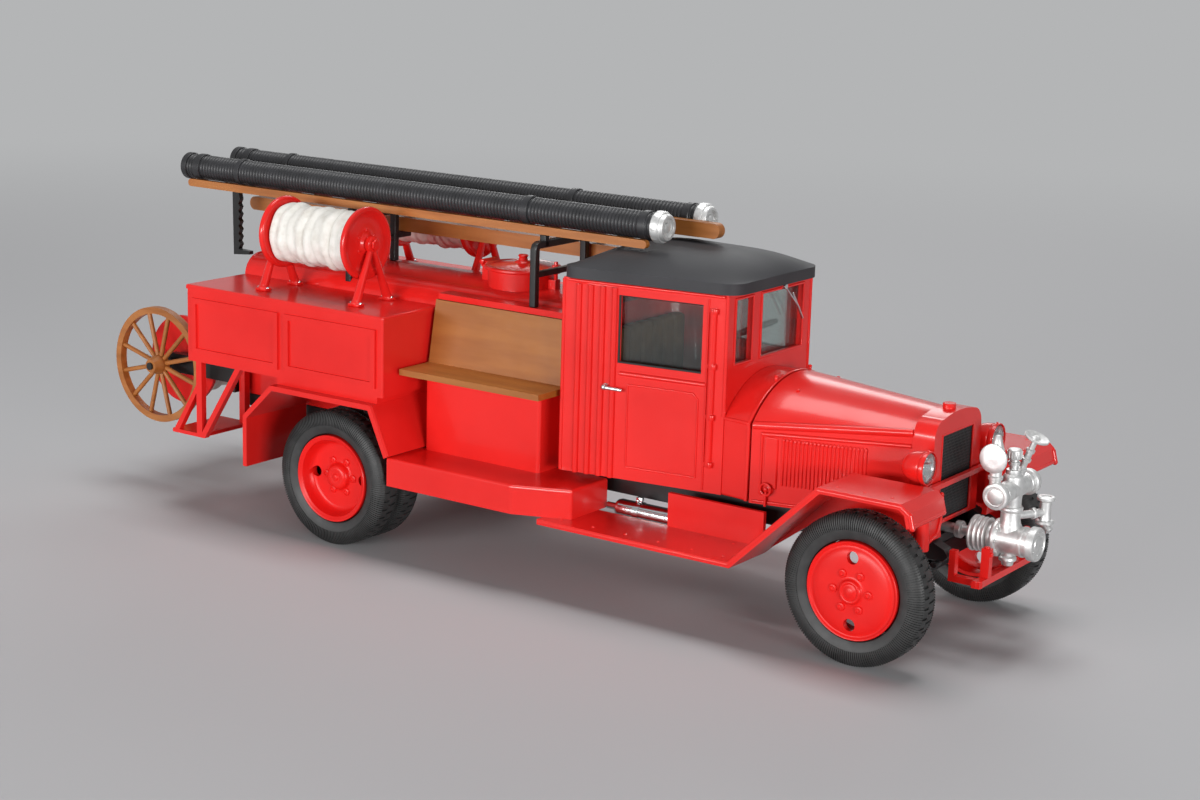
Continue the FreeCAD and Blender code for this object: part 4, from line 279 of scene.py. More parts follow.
def gloss(material, low, high, size_mm, stretch=EVEN):
    """Roughness that wanders between low and high in patches size_mm wide."""
    tree = material.node_tree
    cloud = pattern(tree, "TexNoise", size_mm, stretch, Detail=2.0)
    levels = add(tree, "MapRange", {"To Min": low, "To Max": high}, {"Value": (cloud, "Fac")})
    tree.links.new(levels.outputs["Result"], tree.nodes["Principled BSDF"].inputs["Roughness"])


def grain(material, size_mm, height_mm, kind="TexNoise", stretch=EVEN):
    """A bump of that size and height, on top of any bump that is there already."""
    tree = material.node_tree
    normal = tree.nodes["Principled BSDF"].inputs["Normal"]
    bump = add(tree, "Bump", {"Strength": 1.0, "Distance": height_mm * MM},
               {"Height": (pattern(tree, kind, size_mm, stretch), "Fac")})
    if normal.links:
        tree.links.new(normal.links[0].from_socket, bump.inputs["Normal"])
    tree.links.new(bump.outputs["Normal"], normal)


# %% [markdown]
# Sprayed enamel on a zinc casting: a deep red under a clear, wet-looking coat. Spray settles as
# orange peel, low waves about a millimetre wide, which make the lamps' reflections swim a little.
# The colour is a touch darker where the coat is thin.

# %% Red enamel
red_enamel = start_finish("sprayed_red_enamel", "red_paint", "#E2231F", 0.24, Coat_Weight=0.15,
                          Coat_Roughness=0.05, Coat_IOR=1.5, Specular_IOR_Level=0.35)
tint(red_enamel, ("#DC1F1B", "#E2231F", "#E62521"), 12.0)
gloss(red_enamel, 0.18, 0.28, 5.0)
grain(red_enamel, 1.8, 0.0035)
grain(red_enamel, 0.25, 0.0012)

# %% [markdown]
# The wheel discs are the same red moulded in styrene. Without the clear coat they look a little
# softer and more orange.

# %% Red styrene
red_styrene = start_finish("moulded_red_styrene", "red_paint", "#DE221E", 0.36, Specular_IOR_Level=0.3)
tint(red_styrene, ("#DD1614", "#E61B16"), 5.0)
gloss(red_styrene, 0.26, 0.40, 2.0)
grain(red_styrene, 0.3, 0.002)

# %% [markdown]
# The roof copies tarred canvas: a satin dark grey with a fine, even grain from matt spray.

# %% Roof grey
roof_grey = start_finish("matt_sprayed_roof_grey", "roof_paint", "#343437", 0.6, Specular_IOR_Level=0.3)
tint(roof_grey, ("#303033", "#363639", "#3B3B3E"), 6.0)
gloss(roof_grey, 0.52, 0.66, 3.0)
grain(roof_grey, 0.35, 0.006)
grain(roof_grey, 2.5, 0.010)

# %% [markdown]
# Chassis, axles and racks are black styrene straight from the mould: satin, with the faint
# sparkle of an etched tool.

# %% Black styrene
black_styrene = start_finish("moulded_black_styrene", "black_paint", "#161617", 0.38)
tint(black_styrene, ("#121213", "#1A1A1B"), 5.0)
gloss(black_styrene, 0.30, 0.45, 2.5)
grain(black_styrene, 0.22, 0.003)

# %% [markdown]
# Tyres are moulded rubber: dark, dull and slightly grey where hands have rubbed them. Rubber has
# no sheen of its own, only a broad soft highlight.

# %% Tyre rubber
tyre_rubber = start_finish("moulded_tyre_rubber", "tyre_rubber", "#2C2C2C", 0.5)
tint(tyre_rubber, ("#262626", "#2E2E2E", "#363636"), 1.8)
gloss(tyre_rubber, 0.42, 0.60, 1.2)
grain(tyre_rubber, 0.18, 0.006)

# %% [markdown]
# Suction hose: rubber over a wire spiral. The ribs are geometry, and the finish only adds the
# satin skin of a vinyl moulding.

# %% Hose vinyl
hose_vinyl = start_finish("ribbed_hose_vinyl", "hose_rubber", "#262628", 0.42)
tint(hose_vinyl, ("#212123", "#2C2C2F"), 3.0)
gloss(hose_vinyl, 0.34, 0.50, 1.5)
grain(hose_vinyl, 0.2, 0.003)

# %% [markdown]
# The delivery hose on the reels is moulded in white with the folds of flat canvas hose. A weave of
# a fifth of a millimetre is near the limit of what the picture can show.

# %% White canvas hose
hose_white = start_finish("white_moulded_canvas_hose", "reel_hose", "#E4E0D8", 0.62)
tint(hose_white, ("#D8D3CA", "#E6E3DC", "#EDEAE4"), 1.6)
gloss(hose_white, 0.52, 0.70, 1.0)
grain(hose_white, 0.5, 0.020)
grain(hose_white, 0.18, 0.008)

# %% [markdown]
# Ladder, stick and cart wheels are styrene in the colour of varnished wood. The flow of the
# plastic along each moulding leaves long pale streaks, which pass for grain.

# %% Ochre styrene
ochre_styrene = start_finish("moulded_ochre_styrene", "ochre_wood", "#A5642F", 0.45)
tint(ochre_styrene, ("#96581F", "#A8662E", "#B47338"), 1.5, stretch=(0.12, 1, 1))
gloss(ochre_styrene, 0.36, 0.52, 1.5, stretch=(0.2, 1, 1))
grain(ochre_styrene, 0.4, 0.008, stretch=(0.1, 1, 1))

# %% [markdown]
# The benches are the same kind of styrene, a shade greener and duller, as planed boards.

# %% Bench styrene
bench_styrene = start_finish("moulded_bench_styrene", "bench_plastic", "#A06022", 0.5)
tint(bench_styrene, ("#945519", "#A16123", "#AB6A29"), 2.2, stretch=(0.15, 1, 1))
gloss(bench_styrene, 0.42, 0.58, 1.5)
grain(bench_styrene, 0.35, 0.006, stretch=(0.15, 1, 1))

# %% [markdown]
# Pump and couplings are sprayed with bright aluminium lacquer. Metal flakes a tenth of a
# millimetre wide scatter the light, so it is bright but never a mirror.

# %% Aluminium lacquer
bright_lacquer = start_finish("sprayed_aluminium_lacquer", "bright_metal", "#DCDCDA", 0.42,
                              Metallic=0.8)
tint(bright_lacquer, ("#CECECD", "#DCDCDB", "#E6E6E5"), 0.8)
gloss(bright_lacquer, 0.36, 0.52, 0.6)
grain(bright_lacquer, 0.12, 0.004)

# %% [markdown]
# Door handles, the silencer and the lamps' reflectors are vacuum plated: a true mirror, only a
# little soft.

# %% Plated bright work
plated = start_finish("vacuum_plated_bright", "bright_metal", "#D9DADB", 0.12, Metallic=1.0)
tint(plated, ("#CFD0D2", "#E0E1E2"), 1.2)
gloss(plated, 0.08, 0.20, 0.9)
grain(plated, 0.6, 0.002)

# %% [markdown]
# The axles are drawn steel wire, with fine lines round them from the drawing die.

# %% Steel wire
steel_wire = start_finish("drawn_steel_wire", "steel", "#B9B9B7", 0.35, Metallic=1.0)
tint(steel_wire, ("#A9A9A7", "#C2C2C0"), 0.7)
gloss(steel_wire, 0.28, 0.45, 0.3, stretch=(1, 0.1, 1))
grain(steel_wire, 0.1, 0.003, stretch=(1, 0.05, 1))

# %% [markdown]
# Window panes are clear styrene, half a millimetre thick. A thin flat pane bends light so little
# that a see-through shader is truer than a solid glass one, and it lets the lamps light the cab.
# A Fresnel term mixes in the pane's own shine, and a low wave makes the reflection uneven.

# %% Clear styrene
clear_styrene = start_finish("clear_moulded_styrene", "glazing", "#E8EEEC", 0.03, IOR=1.45,
                             Metallic=0.9)
gloss(clear_styrene, 0.02, 0.05, 3.0)
grain(clear_styrene, 3.0, 0.004)
tree = clear_styrene.node_tree
see_through = add(tree, "BsdfTransparent", {"Color": linear("#EEF2F1")})
edge = add(tree, "Fresnel", {"IOR": 1.5})
share = add(tree, "MapRange", {"From Max": 0.6, "To Min": 0.02, "To Max": 0.5}, {"Value": (edge, 0)})
mixed = add(tree, "MixShader", links={0: (share, 0), 1: (see_through, 0),
                                      2: (tree.nodes["Principled BSDF"], 0)})
tree.links.new(mixed.outputs[0], tree.nodes["Material Output"].inputs["Surface"])

# %% [markdown]
# The lamps' glasses are clear styrene too, but thick and moulded with upright flutes, so here a
# solid glass shader is right and a wave makes the flutes. The bulbs are frosted and cream.

# %% Lamp glass and bulbs
lamp_glass = start_finish("fluted_lamp_glass", "lamp_glass", "#F6F8F8", 0.05, IOR=1.5,
                          Transmission_Weight=1.0)
gloss(lamp_glass, 0.03, 0.08, 0.8)
grain(lamp_glass, 0.45, 0.05, kind="TexWave", stretch=(0, 1, 0))

bulb_glass = start_finish("frosted_bulb_glass", "lamp_glass", "#F4F1E6", 0.25, Specular_IOR_Level=0.6)
tint(bulb_glass, ("#EFEBDD", "#F8F6EE"), 0.3)
gloss(bulb_glass, 0.18, 0.35, 0.3)

# %% [markdown]
# Inside the cab everything is dull, dark styrene, and the seat is moulded in brown.

# %% Cab plastics
dark_styrene = start_finish("matt_dark_styrene", "dark_plastic", "#1A1919", 0.6)
tint(dark_styrene, ("#151414", "#201F1E"), 2.0)
gloss(dark_styrene, 0.5, 0.7, 1.0)
grain(dark_styrene, 0.25, 0.006)

seat_styrene = start_finish("moulded_brown_seat_styrene", "seat_brown", "#7A5636", 0.58)
tint(seat_styrene, ("#6E4C2E", "#86603D"), 2.0)
gloss(seat_styrene, 0.5, 0.66, 1.0)
grain(seat_styrene, 0.4, 0.012)

# %% [markdown]
# Each CAD node keeps its mesh and gets the finish of the real piece.

# %% Finishes for the CAD nodes
FINISH_OF = {
    red_enamel: """cab_shell bonnet radiator_shell front_guards_and_boards lockers rear_guards
        side_steps bench_boxes water_tank headlamp_bowls filler_hatch rear_treads pump_carrier
        headlamp_bar""",
    red_styrene: """front_wheel_discs rear_wheel_discs reel_drum_left reel_drum_right
        reel_stands cart_drum""",
    roof_grey: "cab_roof",
    black_styrene: """chassis_frame front_springs rear_springs front_axle_beam rear_axle_case
        front_rack rear_rack ladder_hook cart_carrier cart_axle drive_shaft
        engine_and_gearbox""",
    tyre_rubber: "front_tyres rear_tyres",
    hose_vinyl: "suction_hoses",
    hose_white: "reel_hose_left reel_hose_right cart_hose",
    ochre_styrene: "hook_ladder folding_stick folded_pole cart_wheels",
    bench_styrene: "bench_seats",
    bright_lacquer: "suction_couplings pump_body pump_valves",
    plated: "silencer door_handles",
    steel_wire: "front_axle_rod rear_axle_rod",
    clear_styrene: "cab_glazing",
    lamp_glass: "headlamp_lenses",
    dark_styrene: "steering_wheel radiator_core",
    seat_styrene: "cab_seat dashboard",
}
plain = set(frame["nodes"])
for material, names in FINISH_OF.items():
    for name in names.split():
        node = frame["nodes"][name]
        node.data.materials.clear()
        node.data.materials.append(material)
        plain.remove(name)
print("nodes without a finish:", sorted(plain))

# %% [markdown]
# # Ways of making pieces
# Four moves make nearly every piece of this model. A line is drawn by pushing one point on and on.
# Spun round an axle it becomes a turned piece, filled and pushed sideways it becomes a plate, and
# a cube or cylinder placed at its real size becomes a bar or rod once its edges are bevelled.
# Every helper starts with nothing selected, because an operator acts on all that is selected.

# %% Selecting
WELD = 0.000002
AXES = {  # the axis itself, and the way in which a radius is drawn
    "X": (Vector((1, 0, 0)), Vector((0, 0, 1))),
    "Y": (Vector((0, 1, 0)), Vector((0, 0, 1))),
    "Z": (Vector((0, 0, 1)), Vector((1, 0, 0))),
}


def start():
    """Leaves edit mode and clears the selection."""
    if bpy.context.object and bpy.context.object.mode != "OBJECT":
        bpy.ops.object.mode_set(mode="OBJECT")
    bpy.ops.object.select_all(action="DESELECT")


def use(piece):
    """Makes a piece the only selected and active one."""
    start()
    piece.select_set(True)
    bpy.context.view_layer.objects.active = piece


def edit(piece, mode="FACE", everything=True):
    """Opens a piece for editing, with everything or nothing selected."""
    use(piece)
    bpy.ops.object.mode_set(mode="EDIT")
    bpy.ops.mesh.select_mode(type=mode)
    bpy.ops.mesh.select_all(action="SELECT" if everything else "DESELECT")


def pick(piece, kind, wanted):
    """Selects the faces, edges or vertices of a piece that pass a test; leaves it in edit mode."""
    edit(piece, {"polygons": "FACE", "edges": "EDGE", "vertices": "VERT"}[kind], False)
    bpy.ops.object.mode_set(mode="OBJECT")
    chosen = [wanted(element) for element in getattr(piece.data, kind)]
    getattr(piece.data, kind).foreach_set("select", chosen)
    bpy.ops.object.mode_set(mode="EDIT")
    return sum(chosen)


# %% Shaping and finishing
def settle(piece):
    """Puts a piece's place, turn and size into its mesh."""
    use(piece)
    bpy.ops.object.transform_apply(location=True, rotation=True, scale=True)
    return piece


def outward(piece):
    """Merges doubled points and turns every face outwards."""
    edit(piece)
    bpy.ops.mesh.remove_doubles(threshold=WELD)
    bpy.ops.mesh.normals_make_consistent(inside=False)
    bpy.ops.object.mode_set(mode="OBJECT")
    return piece


def modify(piece, kind, **settings):
    """Puts a modifier on a piece and applies it."""
    use(piece)
    modifier = piece.modifiers.new(kind.lower(), kind)
    for name, value in settings.items():
        setattr(modifier, name, value)
    bpy.ops.object.modifier_apply(modifier=modifier.name)
    return piece


def soften(piece, width, segments=2, angle=35):
    """Rounds the sharp edges of a piece by a bevel of width millimetres."""
    return modify(piece, "BEVEL", width=width * MM, segments=segments,
                  angle_limit=math.radians(angle))


def repeated(piece, count, step, weld=0.0):
    """Repeats a piece count times, step millimetres apart, and welds what meets."""
    return modify(piece, "ARRAY", count=count, use_relative_offset=False,
                  use_constant_offset=True, constant_offset_displace=Vector(step) * MM,
                  use_merge_vertices=weld > 0, merge_threshold=weld)


def dress(piece, name, material, replaced=(), body="vehicle", angle=40):
    """Names a finished piece, shades it, gives it its finish and its body."""
    use(piece)
    bpy.ops.object.shade_smooth_by_angle(angle=math.radians(angle))
    modify(piece, "WEIGHTED_NORMAL", keep_sharp=True)
    piece.name = name
    piece.data.name = name
    piece.data.materials.clear()
    piece.data.materials.append(material)
    if replaced:
        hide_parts(*replaced)
    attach(piece, body)
    return piece


# %% Line, turned piece and plate
def line(points, closed=False):
    """A chain of edges through places in metres, drawn by pushing one point on."""
    start()
    bpy.ops.mesh.primitive_plane_add(size=MM, location=(0, 0, 0))
    piece = bpy.context.object
    bpy.ops.object.mode_set(mode="EDIT")
    bpy.ops.mesh.select_mode(type="VERT")
    bpy.ops.mesh.merge(type="CENTER")
    bpy.ops.transform.translate(value=points[0])
    for before, after in zip(points, points[1:]):
        bpy.ops.mesh.extrude_vertices_move(
            TRANSFORM_OT_translate={"value": Vector(after) - Vector(before)})
    if closed:
        bpy.ops.mesh.select_all(action="SELECT")
        bpy.ops.mesh.edge_face_add()
    bpy.ops.object.mode_set(mode="OBJECT")
    return piece


def turned(centre, axis, outline, steps=48):
    """Spins an outline of (along, radius) millimetres round an axis through a place."""
    way, out = AXES[axis]
    piece = line([centre + (way * along + out * radius) * MM for along, radius in outline])
    edit(piece, "VERT")
    bpy.ops.mesh.spin(steps=steps, angle=2 * math.pi, center=centre, axis=way)
    return outward(piece)


def plate(points, push):
    """Fills a closed outline of places in metres and pushes it by a vector in millimetres."""
    piece = line(points, closed=True)
    edit(piece)
    bpy.ops.mesh.extrude_region_move(TRANSFORM_OT_translate={"value": Vector(push) * MM})
    bpy.ops.object.mode_set(mode="OBJECT")
    return outward(piece)


# %% Block, rod and ball
def block(low, high, edge=0.1, segments=2):
    """A cube stretched between two corners of the drawing, with its edges rounded."""
    start()
    low_at, high_at = spot(*low), spot(*high)
    bpy.ops.mesh.primitive_cube_add(size=1, location=(low_at + high_at) / 2)
    bpy.context.object.scale = high_at - low_at
    return soften(settle(bpy.context.object), edge, segments)


def rod(first, last, radius, sides=16, edge=0.0, tip=None):
    """A cylinder, or a cone with a tip radius, between two places of the drawing."""
    start()
    bottom, top = spot(*first), spot(*last)
    run = top - bottom
    bpy.ops.mesh.primitive_cone_add(vertices=sides, radius1=radius * MM,
                                    radius2=(radius if tip is None else tip) * MM,
                                    depth=run.length, location=(bottom + top) / 2)
    piece = bpy.context.object
    piece.rotation_euler = run.to_track_quat("Z", "Y").to_euler()
    settle(piece)
    return soften(piece, edge) if edge else piece


def ball(centre, radius, stretch=(1, 1, 1), rings=10):
    """A sphere at a place of the drawing, stretched along the axes."""
    start()
    bpy.ops.mesh.primitive_uv_sphere_add(segments=rings * 2, ring_count=rings,
                                         radius=radius * MM, location=spot(*centre))
    bpy.context.object.scale = stretch
    return settle(bpy.context.object)


# %% Copies and groups
def copy_of(piece, shift=(0, 0, 0), mirror=False):
    """A copy with its own mesh, shifted by millimetres or mirrored across the middle plane."""
    use(piece)
    bpy.ops.object.duplicate(linked=False)
    made = bpy.context.object
    made.location = Vector(shift) * MM
    if not mirror:
        return settle(made)
    made.scale.y = -1
    return outward(settle(made))


def lean(piece, centre, axis, degrees):
    """Turns a piece by degrees round an axis through a place in metres."""
    turn = Matrix.Rotation(math.radians(degrees), 4, axis)
    piece.matrix_world = Matrix.Translation(centre) @ turn @ Matrix.Translation(-centre)
    return settle(piece)


def round_copies(piece, centre, axis, count):
    """The piece and its copies, evenly turned round an axis through a place in metres."""
    return [piece] + [lean(copy_of(piece), centre, axis, 360 * number / count)
                      for number in range(1, count)]


def together(*pieces):
    """Joins several pieces into one."""
    use(pieces[0])
    for piece in pieces[1:]:
        piece.select_set(True)
    if pieces[1:]:
        bpy.ops.object.join()
    return pieces[0]


def both(*pieces):
    """Several pieces and their mirror images on the other side, as one."""
    piece = together(*pieces)
    return together(piece, copy_of(piece, mirror=True))


def cord_along(places, radius, sides=12, closed=False, edge=0.0):
    """Rods between places of the drawing, with a ball in each bend."""
    ends = places[1:] + (places[:1] if closed else [])
    return together(*[ball(place, radius, rings=5) for place in places],
                    *[rod(first, last, radius, sides, edge) for first, last in zip(places, ends)])


# %% [markdown]
# # Tyres
# The moulded tyre has a smooth wall, a band of fine cross ribs on each shoulder and a broken tread.
# An outline spun in steps of one degree gives one narrow strip per rib and one per gap. Every
# second strip of the shoulder is pushed out along its normals, and scattered faces of the tread
# are pushed in, so ribs and grooves are real shapes that catch the light.

# %% One ribbed tyre
FRONT_X, FRONT_Y, AXLE_Z = 88.6, 17.8, 10.5
REAR_Y, TWIN_SPACING = 20.35, 4.9
TYRE_STEPS = 360
RIB_HEIGHT, TREAD_DEPTH = 0.15, 0.22
TYRE_HALF, BEAD_RADIUS = 2.15, 6.8
tyre_low, tyre_high = size_of("front_tyres")
TYRE_RISE = (tyre_high.z - tyre_low.z) / 2 - RIB_HEIGHT * 0.3 - BEAD_RADIUS
WALL = (  # share of the half width, share of the way from bead to crown
    (0.60, 0.00), (0.80, 0.05), (0.93, 0.22), (0.985, 0.40), (1.0, 0.52), (0.97, 0.66),
    (0.90, 0.78), (0.80, 0.90), (0.66, 0.955), (0.40, 0.985), (0.14, 1.0),
)


def push_faces(piece, wanted, by):
    """Pushes the faces that pass a test out along their normals, by millimetres."""
    pick(piece, "polygons", wanted)
    bpy.ops.mesh.extrude_region_shrink_fatten(TRANSFORM_OT_shrink_fatten={"value": by * MM})
    bpy.ops.object.mode_set(mode="OBJECT")


def tyre(middle):
    """A ribbed tyre round a wheel centre in metres."""
    half = [(share * TYRE_HALF, BEAD_RADIUS + climb * TYRE_RISE) for share, climb in WALL]
    outline = half + [(-along, radius) for along, radius in reversed(half)] + half[:1]
    piece = turned(middle, "Y", outline, TYRE_STEPS)

    def where(face):
        """Share of the half width, share of the way to the crown, and the step round."""
        offset = face.center - middle
        climb = (math.hypot(offset.x, offset.z) / MM - BEAD_RADIUS) / TYRE_RISE
        step = int(round(math.degrees(math.atan2(offset.z, offset.x)) - 0.5)) % TYRE_STEPS
        return abs(offset.y) / MM / TYRE_HALF, climb, step

    def on_shoulder(face):
        """Every second strip of the shoulder: the ribs."""
        along, climb, step = where(face)
        return along > 0.70 and climb > 0.44 and step % 2 == 0

    def in_groove(face):
        """Blocks of the tread, set off from row to row: the grooves."""
        along, climb, step = where(face)
        shift = int(along / 0.27) * 2 + (2 if face.center.y > middle.y else 0)
        return along < 0.66 and climb > 0.9 and (step // 2 + shift) % 4 == 0

    push_faces(piece, on_shoulder, RIB_HEIGHT)
    push_faces(piece, in_groove, -TREAD_DEPTH)
    return piece


front_tyre = tyre(spot(FRONT_X, -FRONT_Y, AXLE_Z))
left_tyre = copy_of(front_tyre, (0, FRONT_Y * 2, 0))
dress(front_tyre, "ribbed_front_tyre_right", tyre_rubber, ["front_tyres"], "front_wheelset")
dress(left_tyre, "ribbed_front_tyre_left", tyre_rubber, ["front_tyres"], "front_wheelset")
for side_name, way in (("right", -1), ("left", 1)):
    for place_name, across in (("outer", REAR_Y), ("inner", REAR_Y - TWIN_SPACING)):
        dress(copy_of(front_tyre, (-FRONT_X, way * across + FRONT_Y, 0)),
              "ribbed_rear_tyre_" + side_name + "_" + place_name, tyre_rubber, ["rear_tyres"],
              "rear_wheelset")
print("faces of one tyre:", len(front_tyre.data.polygons))

# %% [markdown]
# # Wheel discs
# A lorry's wheel is a pressed disc in a rolled rim. The front disc bulges out to the hub, the rear
# one is the same pressing turned inside out, so its hub stands at the bottom of a deep dish. Each
# profile is spun round the axle, hand holes are cut with a boolean, and six wheel nuts are set
# round the hub.

# %% Pressed discs
FRONT_DISC = (  # out from the wheel's middle plane, radius
    (2.86, 0.0), (2.83, 0.35), (2.74, 0.68), (2.60, 0.90), (2.58, 1.05), (2.66, 1.16),
    (2.74, 1.30), (2.72, 1.46), (2.60, 1.60), (2.38, 1.66), (2.27, 1.80), (2.25, 2.10),
    (2.28, 3.60), (2.26, 4.60), (2.18, 5.30), (2.02, 5.80), (1.86, 6.05), (1.86, 6.22),
    (1.98, 6.38), (2.10, 6.50), (2.12, 6.62), (2.04, 6.72), (1.90, 6.74), (1.50, 6.70),
    (-1.50, 6.70), (-1.60, 6.60), (-1.60, 6.14), (1.10, 6.05), (1.35, 5.40), (1.50, 1.80),
    (-1.50, 1.70), (-1.60, 1.60), (-1.60, 0.0),
)
REAR_DISC = (
    (1.12, 0.0), (1.10, 0.30), (1.02, 0.48), (0.90, 0.56), (0.88, 0.80), (0.92, 0.95),
    (0.92, 1.30), (0.84, 1.62), (0.62, 1.88), (0.25, 2.02), (0.02, 2.10), (-0.08, 2.26),
    (-0.10, 2.60), (-0.10, 4.70), (-0.02, 5.10), (0.22, 5.42), (0.80, 5.68), (1.40, 5.84),
    (1.78, 5.98), (1.88, 6.18), (1.98, 6.38), (2.08, 6.52), (2.08, 6.64), (1.98, 6.72),
    (1.50, 6.70), (-1.50, 6.70), (-1.60, 6.60), (-1.60, 6.14), (-1.10, 5.90), (-0.85, 5.30),
    (-0.80, 1.80), (-1.50, 1.70), (-1.60, 1.60), (-1.60, 0.0),
)
NUT = ((0.0, 0.62), (0.16, 0.60), (0.24, 0.50), (0.25, 0.34), (0.14, 0.28), (0.12, 0.0))
NUT_CIRCLE, HAND_HOLE_CIRCLE, HAND_HOLE_RADIUS = 2.65, 4.6, 0.86


def wheel_disc(middle, profile, seat, hole_way):
    """A right-hand wheel disc; seat is where the nuts stand, hole_way points to a hand hole."""
    disc = turned(middle, "Y", [(-out, radius) for out, radius in profile], 64)
    for way in (-1, 1):
        cutter = turned(middle + Vector(hole_way) * HAND_HOLE_CIRCLE * way * MM, "Y",
                        [(-4.0, 0.0), (-4.0, HAND_HOLE_RADIUS), (4.0, HAND_HOLE_RADIUS),
                         (4.0, 0.0)], 24)
        modify(disc, "BOOLEAN", operation="DIFFERENCE", object=cutter)
        use(cutter)
        bpy.ops.object.delete()
    nut = turned(middle + Vector((NUT_CIRCLE, 0, 0)) * MM, "Y",
                 [(-(seat + out), radius) for out, radius in NUT], 14)
    return together(disc, *round_copies(nut, middle, "Y", 6))


def dress_pair(disc, kind, wheels):
    """Gives a right-hand disc and its mirror image their finish and their wheelset."""
    for piece, side_name in ((copy_of(disc, mirror=True), "left"), (disc, "right")):
        dress(piece, kind + side_name, red_styrene, [wheels + "_discs"], wheels + "set")


front_disc = wheel_disc(spot(FRONT_X, -FRONT_Y, AXLE_Z), FRONT_DISC, 2.24, (0, 0, 1))
dress_pair(front_disc, "front_wheel_disc_", "front_wheel")
rear_disc = wheel_disc(spot(0, -REAR_Y, AXLE_Z), REAR_DISC, -0.12, (-1, 0, 0))
twin_disc = copy_of(rear_disc, (0, TWIN_SPACING, 0))
dress_pair(rear_disc, "rear_wheel_disc_", "rear_wheel")
dress_pair(twin_disc, "rear_twin_disc_", "rear_wheel")
print("faces of a front disc:", len(front_disc.data.polygons))

# %% [markdown]
# # Suction hoses
# A suction hose must not collapse, so a wire spiral is vulcanised into it and shows as hundreds of
# even ribs. One rib is turned as a short tube, and an array repeats it along the hose. Plain
# collars mark where the hose is bound on its couplings and where its two lengths meet.

# %% Ribbed hose
hose_low, hose_high = size_of("suction_hoses")
HOSE_LENGTH = hose_high.x - hose_low.x
HOSE_Y, HOSE_Z, HOSE_RADIUS, COLLAR_RADIUS = 5.7, 52.55, 2.0, 2.18
RIB_COUNT = int(HOSE_LENGTH / 0.62)
RIB_DEPTH = 0.14
RIB_SHARES = ((0, 1), (0.2, 0.3), (0.4, 0), (0.7, 0), (0.85, 0.5), (1, 1))
COLLARS = ((-45.4, 1.1), (-42.6, 1.3), (-33.5, 0.9), (24.5, 1.2), (45.4, 1.2))


def ribbed_hose(y):
    """A hose of array-repeated ribs with its collars, along X."""
    middle = spot(0, y, HOSE_Z)
    pitch = HOSE_LENGTH / RIB_COUNT
    hose = turned(middle, "X", [(hose_low.x + pitch * share, HOSE_RADIUS - RIB_DEPTH * deep)
                                for share, deep in RIB_SHARES], 28)
    repeated(hose, RIB_COUNT, (pitch, 0, 0), weld=0.00001)
    edit(hose, "EDGE", False)
    bpy.ops.mesh.select_non_manifold()
    bpy.ops.mesh.edge_face_add()
    rings = []
    for x, width in COLLARS:
        half = [(width / 2, HOSE_RADIUS - 0.3), (width / 2, COLLAR_RADIUS - 0.1),
                (width / 2 - 0.1, COLLAR_RADIUS)]
        outline = [(x - out, radius) for out, radius in half]
        outline += [(x + out, radius) for out, radius in reversed(half)]
        rings.append(turned(middle, "X", outline + outline[:1], 28))
    return together(outward(hose), *rings)


right_hose = ribbed_hose(-HOSE_Y)
left_hose = copy_of(right_hose, (0, HOSE_Y * 2, 0))
dress(right_hose, "ribbed_suction_hose_right", hose_vinyl, ["suction_hoses"])
dress(left_hose, "ribbed_suction_hose_left", hose_vinyl, ["suction_hoses"])
print("faces of one hose:", len(right_hose.data.polygons))

# %% [markdown]
# Each hose ends in a bright coupling: a nut with lugs for the spanner, a flat face with a ring
# groove and a strainer's boss in the middle.

# %% Couplings
COUPLINGS = ((46.9, 2.0, 2.33), (-45.6, -0.7, 1.76))  # place along, length out, radius
COUPLING = (  # share of the length, share of the radius
    (0, 0), (0, 0.9), (0.12, 1), (0.55, 1), (0.68, 0.93), (0.68, 0.86), (0.9, 0.84), (1, 0.76),
    (1, 0.60), (0.8, 0.56), (0.8, 0.34), (0.95, 0.28), (0.99, 0),
)


def coupling(y, x, length, reach):
    """A turned coupling with lugs; a negative length points to the rear."""
    middle = spot(0, y, HOSE_Z)
    body = turned(middle, "X", [(x + length * out, reach * wide) for out, wide in COUPLING], 36)
    first, last = sorted((x + length * 0.15, x + length * 0.55))
    lug = block((first, y - 0.22, HOSE_Z + reach - 0.25),
                (last, y + 0.22, HOSE_Z + reach + 0.02), 0.05)
    return together(body, *round_copies(lug, middle, "X", 8))


for side_name, y in (("right", -HOSE_Y), ("left", HOSE_Y)):
    dress(together(*[coupling(y, *shape) for shape in COUPLINGS]),
          "hose_couplings_" + side_name, bright_lacquer, ["suction_couplings"])
print("couplings on each hose:", len(COUPLINGS))

# %% [markdown]
# # Delivery hose on its reels
# Flat canvas hose does not lie like rope. Every turn is a soft, uneven ridge, the pile is a little
# fuller on one side, and the mould's parting line runs along it. An outline of unequal ridges is
# spun round the reel's axle, and its points are then pushed in and out by a slow wave, so no two
# ridges look alike.

# %% Canvas coils
COIL_STEPS = 72
RIDGES = 9
CART_X, CART_Z = -45.1, 20.35
REEL_Y, REEL_Z = 14.2, 45.7


def coil_outline(first, last, inner, outer, seed):
    """The outline of a pile of turns: nine unequal ridges between two flanges."""
    outline = [(first, inner)]
    pitch = (last - first) / RIDGES
    for turn in range(RIDGES):
        lift = math.sin(turn * 2.3 + seed)
        top = outer - 0.14 + 0.12 * lift
        low = top - 0.30 - 0.10 * math.cos(turn * 1.7 + seed)
        base = first + pitch * turn
        outline += [(base + pitch * 0.08, low), (base + pitch * 0.28, top - 0.05),
                    (base + pitch * (0.5 + 0.08 * lift), top), (base + pitch * 0.75, top - 0.08)]
    return outline + [(last - pitch * 0.03, outer - 0.5), (last, inner), (first, inner)]


